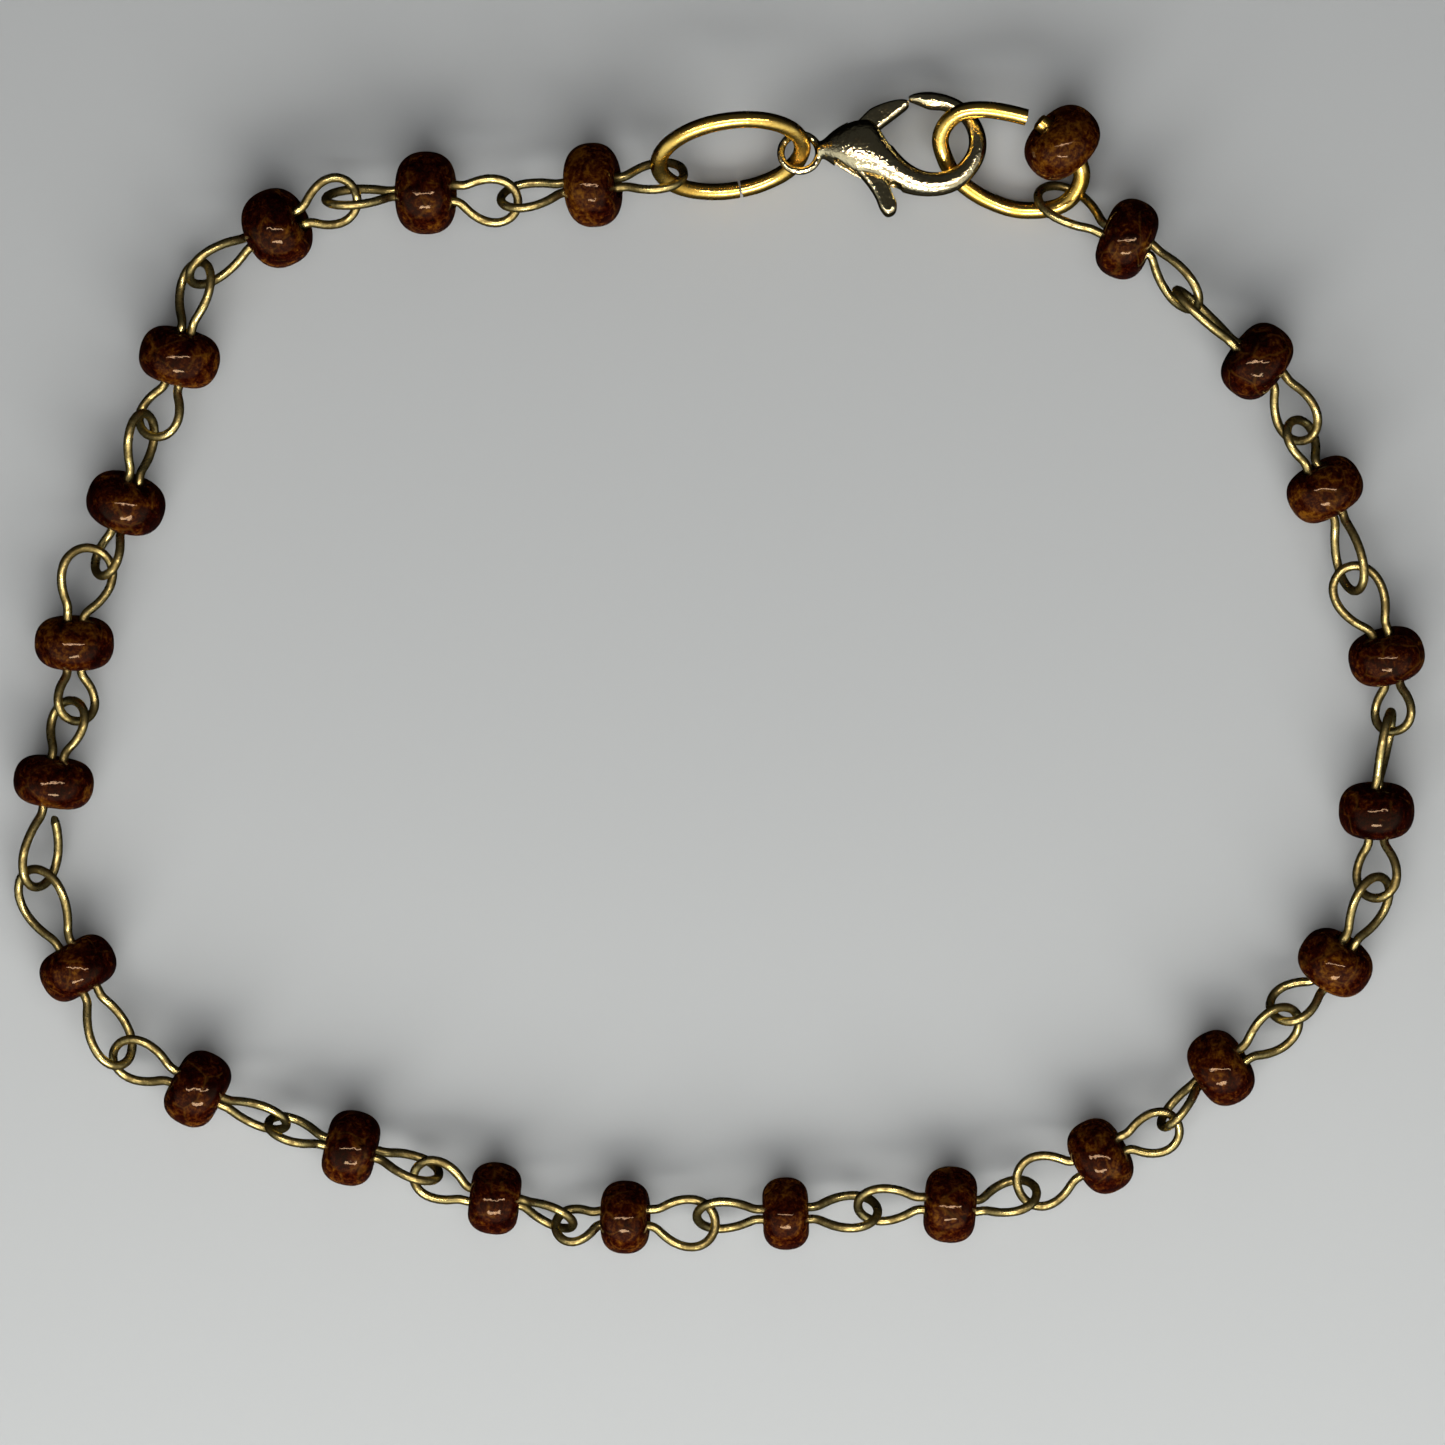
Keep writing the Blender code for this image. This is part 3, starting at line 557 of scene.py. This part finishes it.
vein_place = glass.node("Mix", {"data_type": "VECTOR"},
                        {"Factor": VEIN_WOBBLE, 4: spot, 5: bends}, 1)
vein_edge = glass.node("TexVoronoi", {"feature": "DISTANCE_TO_EDGE"},
                       {"Vector": vein_place, "Scale": VEINS_PER_METRE}, "Distance")
veins = (1 - glass.between(vein_edge, 0.0, VEIN_WIDTH)) * glass.between(swirl, 0.40, 0.58)
veined = glass.mixed(veins * VEIN_STRENGTH, body_colour, VEIN_COLOUR)
glass.paint("Base Color", veined)
glass.paint("Roughness", 0.04 + 0.07 * curd)
glass.relief(glass.clouds(spot, grain_mm=0.7, detail=2.0), depth=0.000035)
print("glass nodes", len(glass.tree.nodes))

# %% [markdown]
# ## The metals
# The links are old brass: olive gold where fingers rub them, dark olive brown where
# dirt has stayed, and finely speckled between the two. The two jump rings are newer
# and much yellower. The clasp is plated in a pale champagne gold and polished, with
# the faint waviness of a cast piece. One recipe serves all three: a rubbed colour and
# a dirty colour, mixed by clouds, and a roughness that rises with the dirt.

# %% Mix the metals
def mix_metal(name, rubbed, dirty, grain_mm, dirt, shine, haze, relief_mm):
    """A metal between its rubbed and its dirty colour; dirt is the share of dirt."""
    metal = Finish(name, Metallic=1.0, Specular_Tint=(0.45, 0.38, 0.25, 1))
    spot = metal.place()
    patches = metal.clouds(spot, grain_mm, detail=4.0, distortion=0.5)
    specks = metal.clouds(spot, grain_mm / 6, detail=2.0)
    worn = metal.between(patches * 0.75 + specks * 0.25, 0.30 + dirt * 0.2, 0.52 + dirt * 0.2)
    metal.paint("Base Color", metal.mixed(worn, (*dirty, 1), (*rubbed, 1)))
    metal.paint("Roughness", shine + haze * (1 - worn) + 0.08 * specks)
    metal.relief(patches * 0.4 + specks * 0.6, relief_mm * MM)
    return metal.material


brass = mix_metal("tarnished brass wire", (0.48, 0.390, 0.150), (0.135, 0.103, 0.036),
                  grain_mm=0.9, dirt=0.46, shine=0.20, haze=0.22, relief_mm=0.012)
yellow = mix_metal("yellow gold", (0.88, 0.60, 0.14), (0.55, 0.33, 0.055),
                   grain_mm=1.2, dirt=0.34, shine=0.14, haze=0.14, relief_mm=0.014)
champagne = mix_metal("champagne gold", (0.74, 0.655, 0.39), (0.47, 0.385, 0.20),
                      grain_mm=1.0, dirt=0.10, shine=0.06, haze=0.10, relief_mm=0.055)
print("metals", brass.name, yellow.name, champagne.name)

# %% [markdown]
# ## The beads
# Each bead is a thick glass ring, a little squarer than a true ball, drilled wide
# enough for two strands of wire. It is turned like work on a lathe: one outline,
# repeated all round. Pressed glass is never quite round, so slow noise presses the
# outside in, by a few hundredths of a millimetre at most.

# %% Turn the beads
BEAD_SIDES = 56
BEAD_STEPS = 26
HOLE_STEPS = 4
LUMPS_PER_METRE = 420
LUMP_HEIGHT = 0.00006
NEXT_BEAD_LUMPS = 3.7


def bead_mesh(name, radius, half_length, seed):
    """A drilled bead about Z, slightly uneven."""
    outline = bead_outline(radius, half_length, BEAD_STEPS)
    top, bottom = outline[0], outline[-1]
    for step in range(1, HOLE_STEPS):
        outline.append((bottom[0], bottom[1] + (top[1] - bottom[1]) * step / HOLE_STEPS))
    start = Vector((seed * NEXT_BEAD_LUMPS, 0, 0))
    corners, faces = [], []
    for out, along in outline:
        for step in range(BEAD_SIDES):
            turn = 2 * pi * step / BEAD_SIDES
            corner = Vector((cos(turn) * out, sin(turn) * out, along))
            bulge = (out - BEAD_HOLE / 2) / radius
            shift = noise.noise(corner * LUMPS_PER_METRE + start) * LUMP_HEIGHT
            corners.append(corner - corner.normalized() * abs(shift) * bulge)
    rows = len(outline)
    for row in range(rows):
        near, far = row * BEAD_SIDES, (row + 1) % rows * BEAD_SIDES
        for step in range(BEAD_SIDES):
            after = (step + 1) % BEAD_SIDES
            faces.append((near + step, far + step, far + after, near + after))
    mesh = bpy.data.meshes.new(name)
    mesh.from_pydata(corners, [], faces)
    return mesh


def bead_frame(middle, heading, tilt):
    """A bead's axes: Z along its hole."""
    axis = Vector((cos(heading) * cos(tilt), sin(heading) * cos(tilt), sin(tilt)))
    side = axis.cross(UP).normalized()
    rise = side.cross(axis)
    turn = Matrix((side, rise, axis)).transposed().to_4x4()
    return Matrix.Translation(middle) @ turn


class Seat:
    """A bead of the chain: its size, its frame and the two mouths of its hole."""

    def __init__(self, row):
        self.radius = row.girth * BEAD_DIAMETER / 2
        self.half_length = row.length * BEAD_LENGTH / 2
        tilt = radians(row.tilt_deg)
        height = rest_height(self.radius, self.half_length, tilt)
        middle = Vector((row.x_mm * MM, row.y_mm * MM, height))
        self.frame = bead_frame(middle, radians(row.heading_deg), tilt)
        self.reach = self.half_length + MOUTH_REACH

    def mouth_height(self, end):
        """How high the hole's front (+1) or back (-1) mouth is."""
        return (self.frame @ Vector((0, 0, end * self.reach))).z

    def lean(self, end, tip):
        """Where the strands pass a mouth: the loop pulls them to the side of its tip."""
        pull = self.frame.inverted() @ tip
        pull.z = 0
        pull.length = min(pull.length, HOLE_LEAN)
        return pull + Vector((0, 0, end * self.reach))


seats = [Seat(row) for row in BEADS]
for number, seat in enumerate(seats, 1):
    mesh = bead_mesh("glass_bead_%02d" % number, seat.radius, seat.half_length, number)
    finished(mesh.name, mesh, glass.material, "bead_%02d" % number,
             matrix=seat.frame)
print("beads turned", len(seats), "faces each", len(mesh.polygons))

# %% [markdown]
# ## The jump rings
# Two oval rings of stout yellow wire end the chain. They lie tilted on the table and
# hold the clasp between them. The left one is a clean oval, closed with a butt seam.
# The right one was opened by hand, so it follows its own drawn line and its cut ends
# stand apart beside the end bead.

# %% Find the rings and the clasp
def ring_frame(middle, heading, tilt):
    """A jump ring's axes: X along it, Y across it with the outer side raised."""
    turn = Matrix.Rotation(heading, 4, "Z") @ Matrix.Rotation(tilt, 4, "X")
    return Matrix.Translation(middle) @ turn


def left_ring_point(turn):
    """A point of the left ring's oval centre line in the ring's own frame."""
    return Vector((RING_LENGTH / 2 * cos(turn), LEFT_RING_WIDTH / 2 * sin(turn), 0))


def right_ring_point(number):
    """A point of the right ring's centre line in the ring's own frame."""
    share = RIGHT_RING[number]
    return Vector((share.along * RING_LENGTH / 2, share.across * RIGHT_RING_WIDTH / 2, 0))


def clasp_place(shares, height=0):
    """A place in the clasp's frame from its shares of the clasp's length."""
    return Vector((shares[0] * CLASP_LENGTH, shares[1] * CLASP_LENGTH, height))


left_height = LEFT_RING_WIDTH / 2 * sin(LEFT_RING_TILT) + RING_WIRE / 2
left_middle = Vector((LEFT_RING_MM[0] * MM, LEFT_RING_MM[1] * MM, left_height))
left_frame = ring_frame(left_middle, LEFT_RING_HEADING, LEFT_RING_TILT)

lowest = min(point.across for point in RIGHT_RING)
right_height = -lowest * RIGHT_RING_WIDTH / 2 * sin(RIGHT_RING_TILT) + RING_WIRE / 2
eye = left_frame @ left_ring_point(EYE_ON_RING_AT)
eye.x -= EYE_SHIFT
held = right_ring_point(RING_POINT_IN_HOOK).y * sin(RIGHT_RING_TILT)
span = (clasp_place(HOOK_HOLD) - clasp_place(EYE_PLACE)).length
pitch = asin((right_height + held - eye.z) / span)
clasp_turn = Matrix.Rotation(-pitch, 4, "Y") @ Matrix.Rotation(-CLASP_LEAN, 4, "X")
clasp_frame = Matrix.Translation(eye) @ clasp_turn @ Matrix.Translation(-clasp_place(EYE_PLACE))

hold = clasp_frame @ clasp_place(HOOK_HOLD)
turned = ring_frame(Vector((0, 0, 0)), RIGHT_RING_HEADING, RIGHT_RING_TILT)
offset = turned @ right_ring_point(RING_POINT_IN_HOOK)
right_frame = Matrix.Translation((hold.x - offset.x, hold.y - offset.y, right_height)) @ turned
print("ring heights in mm", round(left_height / MM, 2), round(right_height / MM, 2))

# %% Bend the jump rings
RING_SIDES = 24
RING_STEPS = 96
RING_SPAN_STEPS = 6
PACKED_RING_STEPS = 32
RING_STEP = 0.00018
RING_PASSES = 4
RING_UNEVEN = 0.03
mean_radius = (RING_LENGTH + LEFT_RING_WIDTH) / 4
seam = (RING_SEAM + RING_WIRE / PACKED_RING_STEPS) / mean_radius
left_line = []
for step in range(RING_STEPS + 1):
    turn = LEFT_RING_SEAM_AT + seam / 2 + (2 * pi - seam) * step / RING_STEPS
    left_line.append(left_frame @ left_ring_point(turn))
left_mesh = tube_mesh("left_ring", left_line, RING_WIRE / 2, RING_SIDES, RING_UNEVEN)
finished("left_ring", left_mesh, yellow, "jump_ring_left")

chosen = [right_frame @ right_ring_point(number) for number in range(len(RIGHT_RING))]
drawn = smooth_line(chosen, RING_SPAN_STEPS)
right_line = relaxed_line(even_line(drawn, RING_STEP), RING_PASSES)
right_mesh = tube_mesh("right_ring", right_line, RING_WIRE / 2, RING_SIDES, RING_UNEVEN)
finished("right_ring", right_mesh, yellow, "jump_ring_right")
print("rings bent", len(left_mesh.polygons) + len(right_mesh.polygons), "faces")

# %% [markdown]
# One more bead hangs on the right ring. It is threaded on the ring's thicker wire, and
# because its hole is wider than the wire, it sags a little.

# %% Thread the end bead
END_BEAD_SAG = (BEAD_HOLE - RING_WIRE) / 6
END_BEAD_SEED = 40
before = right_frame @ right_ring_point(RING_POINT_IN_BEAD - 1)
after = right_frame @ right_ring_point(RING_POINT_IN_BEAD + 1)
ahead = after - before
threaded = (before + after) / 2
threaded.z -= END_BEAD_SAG
end_frame = bead_frame(threaded, atan2(ahead.y, ahead.x), asin(ahead.z / ahead.length))
end_mesh = bead_mesh("glass_end_bead", END_BEAD_GIRTH * BEAD_DIAMETER / 2,
                     END_BEAD_LENGTH * BEAD_LENGTH / 2, END_BEAD_SEED)
finished("glass_end_bead", end_mesh, glass.material, "end_bead",
         matrix=end_frame)
print("end bead at", [round(v / MM, 2) for v in threaded])

# %% [markdown]
# ## The links
# A link is one piece of wire. It starts inside the bead, leaves by one mouth, makes a
# drop-shaped loop, runs back through the bead, and ends with the same at the other
# mouth. Each loop rolls about its own axis so that it passes through its neighbour's
# without touching. The loop is drawn as a drop, then the whole line is spaced evenly
# and relaxed, which leaves the soft bends that pliers make.

# %% Bend the links
LOOP_STEPS = 30
STRAND_STEPS = 4
LINK_STEP = 0.0001
LINK_PASSES = 8
LINK_SIDES = 14
LINK_UNEVEN = 0.07


def drop_outline(length, width):
    """Half turns round a drop that starts at its pointed end, as (along, side) pairs."""
    peak = pi - acos(LOOP_PINCH / (LOOP_PINCH + 2))
    fullest = sin(peak) * sin(peak / 2) ** LOOP_PINCH
    outline = []
    for step in range(LOOP_STEPS + 1):
        turn = NECK_TURN + 2 * (pi - NECK_TURN) * step / LOOP_STEPS
        side = sin(turn) * sin(turn / 2) ** LOOP_PINCH / fullest
        outline.append((length * (1 - cos(turn)) / 2, width / 2 * side))
    return outline


class Loop:
    """One end of a link: a drop-shaped loop from the bead's mouth to its tip."""

    def __init__(self, seat, end, tip, row):
        self.lean = seat.lean(end, tip)
        self.mouth = seat.frame @ self.lean
        self.ahead = (tip - self.mouth).normalized()
        self.length = (tip - self.mouth).length
        self.width = min(row.width * LOOP_WIDTH, LOOP_FULLNESS * self.length)
        outward = end * Vector((self.ahead.y, -self.ahead.x, 0)).normalized()
        roll = radians(row.roll_deg)
        plane = cos(roll) * outward + sin(roll) * UP
        self.outer = (plane - plane.dot(self.ahead) * self.ahead).normalized()
        local = seat.frame.to_3x3().transposed() @ self.outer
        self.turn = atan2(local.y, local.x)

    def points(self):
        """From the outer leg's end round the tip to the inner leg's end."""
        line = []
        for along, side in drop_outline(self.length, self.width):
            line.append(self.mouth + along * self.ahead + side * self.outer)
        return line


def link_points(seat, back, front, short_tail):
    """The wire of one link, from its tail in the hole round both loops and back."""
    swing = (front.turn - back.turn + pi) % (2 * pi) - pi

    def strand(share, other_side=0):
        """A place on the main strand, or opposite it, from back (0) to front (1)."""
        turn = back.turn + swing * share + other_side
        out = Vector((cos(turn), sin(turn), 0)) * STRAND_OFFSET
        return seat.frame @ (back.lean.lerp(front.lean, share) + out)

    tail = (TAIL_DEPTH + MOUTH_REACH) / (2 * seat.reach)
    line = [strand(tail, pi), strand(0, pi), *reversed(back.points())]
    line += [strand(step / STRAND_STEPS) for step in range(STRAND_STEPS + 1)]
    line += front.points()
    if short_tail:
        leg = strand(1, pi) - line[-1]
        line.append(line[-1] + leg * (1 - SHORT_TAIL / leg.length))
    else:
        line += [strand(1, pi), strand(1 - tail, pi)]
    return line


def end_tip(wire, row):
    """The tip of a loop that holds a jump ring, from a point of the ring's wire."""
    return wire + Vector((row.x_mm * MM, row.y_mm * MM, row.z_mm * MM))


hooks_back = [FIRST_HOOK] + [row.after for row in CROSSINGS]
hooks_front = [row.before for row in CROSSINGS] + [LAST_HOOK]
tips_back = [end_tip(left_frame @ left_ring_point(pi), FIRST_HOOK)]
tips_front = []
for near, far, row in zip(seats, seats[1:], CROSSINGS):
    level = (near.mouth_height(1) + far.mouth_height(-1)) / 2
    tips_front.append(Vector((row.before.x_mm * MM, row.before.y_mm * MM, level)))
    tips_back.append(Vector((row.after.x_mm * MM, row.after.y_mm * MM, level)))
tips_front.append(end_tip(right_frame @ right_ring_point(RING_POINT_IN_LINK), LAST_HOOK))

wire_length = 0
for index, seat in enumerate(seats):
    number = index + 1
    back = Loop(seat, -1, tips_back[index], hooks_back[index])
    front = Loop(seat, 1, tips_front[index], hooks_front[index])
    drawn = link_points(seat, back, front, number == SHORT_TAIL_LINK)
    line = relaxed_line(even_line(drawn, LINK_STEP), LINK_PASSES)
    wire_length += sum((far - near).length for near, far in zip(line, line[1:]))
    mesh = tube_mesh("wire_link_%02d" % number, line, LINK_WIRE / 2, LINK_SIDES, LINK_UNEVEN)
    finished(mesh.name, mesh, brass, "link_%02d" % number)
print("links bent, wire in mm", round(wire_length / MM))

# %% [markdown]
# ## The clasp
# A lobster clasp is a cast body with an eye at one end and a hook at the other. The
# body is lofted through its cross sections, which keeps the swelling back and the
# tapering hook under control, and the eye is a torus joined to it. Then the slot for
# the lever is cut out and the rivet's hole is bored. The lever is a stamped plate with
# rounded edges and the same hole, and it rides on its own body, because it turns on the
# rivet when it is pressed. Bevels could soften the edges that the cuts leave, but every
# edge would have to be chosen by itself. So body and lever are each skinned again with a
# fine even grid and then smoothed, as casting and polishing round off a real one.

# %% Cast the clasp's body
SECTION_SIDES = 40
SECTIONS_PER_SPAN = 5
BORE_SIDES = 24
EYE_STEPS = 56
EYE_SIDES = 20
EDGE_STEPS = 3
WELD_REACH = 0.000001
BODY_GRAIN = 0.00006
BODY_PASSES = 5
SLOT_WIDTH = LEVER_THICKNESS + 2 * LEVER_PLAY


def section_ring(values):
    """The corners of one section across the clasp's body."""
    x, y, heading_deg, width, depth = values
    heading = radians(heading_deg)
    across = Vector((-sin(heading), cos(heading), 0)) * width * CLASP_LENGTH / 2
    rise = UP * depth * CLASP_DEPTH / 2
    ring = []
    for step in range(SECTION_SIDES):
        turn = 2 * pi * (step + 0.5) / SECTION_SIDES
        side = signed_power(cos(turn), 2 / SECTION_SQUARENESS)
        up = signed_power(sin(turn), 2 / SECTION_SQUARENESS)
        ring.append(clasp_place((x, y)) + side * across + up * rise)
    return ring


def smooth_sections(per_span):
    """The clasp's sections with more between them."""
    columns = []
    for values in zip(*CLASP_SECTIONS):
        line = smooth_line([Vector((value, 0, 0)) for value in values], per_span)
        columns.append([point.x for point in line])
    return list(zip(*columns))


def loft_mesh(name, rings):
    """A skin over the rings, closed at both ends."""
    shape = bmesh.new()
    rows = [[shape.verts.new(corner) for corner in ring] for ring in rings]
    for near, far in zip(rows, rows[1:]):
        for side in range(len(near)):
            after = (side + 1) % len(near)
            shape.faces.new((near[side], near[after], far[after], far[side]))
    shape.faces.new(list(reversed(rows[0])))
    shape.faces.new(rows[-1])
    bmesh.ops.recalc_face_normals(shape, faces=shape.faces)
    mesh = bpy.data.meshes.new(name)
    shape.to_mesh(mesh)
    shape.free()
    return mesh


def plate_mesh(name, outline, thickness, edge=0.0):
    """A flat plate with the given outline, with rounded edges if edge isn't 0."""
    curve = bpy.data.curves.new(name, "CURVE")
    curve.dimensions = "2D"
    curve.fill_mode = "BOTH"
    curve.extrude = thickness / 2 - edge
    curve.bevel_depth = edge
    curve.bevel_resolution = EDGE_STEPS
    curve.offset = -edge
    spline = curve.splines.new("POLY")
    spline.points.add(len(outline) - 1)
    spline.use_cyclic_u = True
    for target, point in zip(spline.points, outline):
        target.co = (point[0], point[1], 0, 1)
    return solid_mesh(bpy.data.objects.new(name, curve))


def solid_mesh(thing):
    """The mesh that an object makes, with its seams welded."""
    bpy.context.scene.collection.objects.link(thing)
    graph = bpy.context.evaluated_depsgraph_get()
    mesh = bpy.data.meshes.new_from_object(thing.evaluated_get(graph))
    bpy.data.objects.remove(thing)
    weld = bmesh.new()
    weld.from_mesh(mesh)
    bmesh.ops.remove_doubles(weld, verts=weld.verts, dist=WELD_REACH)
    weld.to_mesh(mesh)
    weld.free()
    return mesh


def carved(mesh, cuts):
    """Join or cut a mesh with others, given as (operation, mesh) pairs."""
    thing = bpy.data.objects.new(mesh.name, mesh)
    helpers = []
    for operation, other in cuts:
        helper = bpy.data.objects.new("helper", other)
        bpy.context.scene.collection.objects.link(helper)
        helpers.append(helper)
        change = thing.modifiers.new(operation, "BOOLEAN")
        change.operation = operation
        change.solver = "EXACT"
        change.object = helper
    result = solid_mesh(thing)
    for helper in helpers:
        bpy.data.objects.remove(helper)
    return result


def softened(mesh, grain, passes):
    """The mesh skinned again on a grid of the given grain, and smoothed."""
    thing = bpy.data.objects.new(mesh.name, mesh)
    skin = thing.modifiers.new("Skin", "REMESH")
    skin.mode = "VOXEL"
    skin.voxel_size = grain
    ease = thing.modifiers.new("Ease", "SMOOTH")
    ease.factor = 0.5
    ease.iterations = passes
    return solid_mesh(thing)


def bore_mesh(name):
    """The rivet's hole, about the origin of the clasp's frame."""
    radius = RIVET_DIAMETER / 2 + RIVET_PLAY
    reach = SLOT_WIDTH / 2 + RIVET_SEAT + RIVET_PLAY
    rings = []
    for height in (-reach, reach):
        ring = []
        for step in range(BORE_SIDES):
            turn = 2 * pi * step / BORE_SIDES
            ring.append(Vector((radius * cos(turn), radius * sin(turn), height)))
        rings.append(ring)
    return loft_mesh(name, rings)


def torus_mesh(middle, radius, rim):
    """A torus about Z."""
    bpy.ops.mesh.primitive_torus_add(major_segments=EYE_STEPS, minor_segments=EYE_SIDES,
                                     major_radius=radius, minor_radius=rim / 2)
    torus = bpy.context.object
    mesh = torus.data
    bpy.data.objects.remove(torus)
    mesh.transform(Matrix.Translation(middle))
    return mesh


sections = [section_ring(values) for values in smooth_sections(SECTIONS_PER_SPAN)]
body_mesh = loft_mesh("clasp_shell", sections)
eye_ring = torus_mesh(clasp_place(EYE_PLACE), (EYE_HOLE + EYE_RIM) / 2, EYE_RIM)
slot_corners = [clasp_place(corner) for corner in SLOT_OUTLINE]
slot_plate = plate_mesh("slot", slot_corners, SLOT_WIDTH)
body_mesh = carved(body_mesh, [("UNION", eye_ring), ("DIFFERENCE", slot_plate),
                               ("DIFFERENCE", bore_mesh("body_bore"))])
body_mesh = softened(body_mesh, BODY_GRAIN, BODY_PASSES)
finished("clasp_shell", body_mesh, champagne, "clasp_body", matrix=clasp_frame)
print("clasp body faces", len(body_mesh.polygons))

# %% Stamp the lever
LEVER_SPAN_STEPS = 4
LEVER_EDGE = 0.00018
LEVER_GRAIN = 0.00005
LEVER_PASSES = 12
corners = [clasp_place(corner) for corner in LEVER_OUTLINE]
closed = corners[-2:] + corners + corners[:3]
rounded = smooth_line(closed, LEVER_SPAN_STEPS)[2 * LEVER_SPAN_STEPS:]
rounded = rounded[:LEVER_SPAN_STEPS * len(corners)]
lever_mesh = plate_mesh("thumb_lever", rounded, LEVER_THICKNESS, LEVER_EDGE)
lever_mesh = carved(lever_mesh, [("DIFFERENCE", bore_mesh("lever_bore"))])
lever_mesh = softened(lever_mesh, LEVER_GRAIN, LEVER_PASSES)
finished("thumb_lever", lever_mesh, champagne, "clasp_lever", "lever",
         clasp_frame)
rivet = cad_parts["clasp_rivet"]
rivet.data.materials.clear()
rivet.data.materials.append(champagne)
print("lever faces", len(lever_mesh.polygons))

# %% [markdown]
# ## The table and the light
# The bracelet lies on a plain pale surface, in soft light: a low lamp on the near side,
# which leaves the far sides of the beads and wires dark, a larger one overhead, and a
# faint one from the far side. One set of lamps could also make the reflections, but
# dark glass and shiny metal show little else, so they get their own, as on a
# photographer's table. Two narrow strips give each bead its two small highlights, and
# the room is bright on the near side and dark on the far side. The soft lamps and the
# table aren't reflected, and the strips and the room light nothing else. The camera
# looks straight down from half a metre, with a long lens, so that one millimetre is as
# wide at the edge of the picture as in its middle.

# %% Lay the table
TABLE_SIZE = 1.2
TABLE_COLOUR = (0.60, 0.618, 0.615, 1)
bpy.ops.mesh.primitive_plane_add(size=TABLE_SIZE, location=(0, 0, 0))
table = bpy.context.object
table.name = "table"
table_finish = Finish("plain pale table", Roughness=0.9)
table_finish.paint("Base Color", TABLE_COLOUR)
table.data.materials.append(table_finish.material)
table.visible_glossy = False
print("table", table.dimensions[:2])

# %% Light it softly
def add_lamp(name, place, size, power, colour, shiny=True, soft=True):
    """A lamp that faces the bracelet: shiny ones are reflected, soft ones give light."""
    lamp = bpy.data.lights.new(name, "AREA")
    lamp.shape = "RECTANGLE"
    lamp.size, lamp.size_y = size
    lamp.energy = power
    lamp.color = colour
    holder = bpy.data.objects.new(name, lamp)
    bpy.context.scene.collection.objects.link(holder)
    holder.location = place
    holder.rotation_euler = (-Vector(place)).to_track_quat("-Z", "Y").to_euler()
    holder.visible_glossy = shiny
    holder.visible_diffuse = soft


DAYLIGHT = (0.97, 0.98, 1.0)
add_lamp("window", (0.0, -0.18, 0.105), (0.32, 0.13), 0.60, (1.0, 0.99, 0.97), shiny=False)
add_lamp("sky", (0.0, -0.15, 0.60), (0.6, 0.6), 1.24, DAYLIGHT, shiny=False)
add_lamp("far side", (0.0, 0.32, 0.26), (0.4, 0.3), 0.08, DAYLIGHT, shiny=False)
add_lamp("strip near", (0.0, -0.69, 0.72), (0.50, 0.12), 7.4, (1.0, 0.92, 0.86), soft=False)
add_lamp("strip over", (0.0, -0.04, 0.99), (1.20, 0.055), 8.7, (1.0, 0.88, 0.84), soft=False)

world = bpy.data.worlds.new("room")
world.use_nodes = True
bpy.context.scene.world = world
room = world.node_tree
way = room.nodes.new("ShaderNodeTexCoord")
split = room.nodes.new("ShaderNodeSeparateXYZ")


def room_ramp(socket, start, end, low, high):
    """A smooth step in the room's brightness along one direction."""
    ramp = room.nodes.new("ShaderNodeMapRange")
    ramp.interpolation_type = "SMOOTHSTEP"
    room.links.new(socket, ramp.inputs["Value"])
    limits = {"From Min": start, "From Max": end, "To Min": low, "To Max": high}
    for name, value in limits.items():
        ramp.inputs[name].default_value = value
    return ramp.outputs[0]


both = room.nodes.new("ShaderNodeMath")
both.operation = "MULTIPLY"
room.links.new(way.outputs["Generated"], split.inputs[0])
towards_near_side = room_ramp(split.outputs["Y"], 0.28, -0.65, 0.03, 0.95)
above_the_floor = room_ramp(split.outputs["Z"], 0.00, 0.45, 0.04, 1.0)
room.links.new(towards_near_side, both.inputs[0])
room.links.new(above_the_floor, both.inputs[1])
room.links.new(both.outputs[0], room.nodes["Background"].inputs["Strength"])
room.nodes["Background"].inputs["Color"].default_value = (*DAYLIGHT, 1)
world.cycles_visibility.diffuse = False

# %% Set up the camera
CAMERA_HEIGHT = 0.5
CHAIN_HEIGHT = 0.002
VIEW_WIDTH = 0.07225
VIEW_MIDDLE_MM = (0.15, -2.525)
SENSOR_WIDTH = 36
camera_data = bpy.data.cameras.new("camera")
camera = bpy.data.objects.new("camera", camera_data)
bpy.context.scene.collection.objects.link(camera)
camera.location = (VIEW_MIDDLE_MM[0] * MM + SET_DOWN.x, VIEW_MIDDLE_MM[1] * MM + SET_DOWN.y,
                   CAMERA_HEIGHT + CHAIN_HEIGHT)
camera_data.sensor_width = SENSOR_WIDTH
camera_data.lens = SENSOR_WIDTH * CAMERA_HEIGHT / VIEW_WIDTH
camera_data.clip_start = 0.01
camera_data.clip_end = 5
bpy.context.scene.camera = camera
bpy.context.scene.view_settings.view_transform = "Standard"
print("lens in mm", round(camera_data.lens, 1))

# %% [markdown]
# The last step brings the scene up to date.

# %% Finish
bpy.context.view_layer.update()
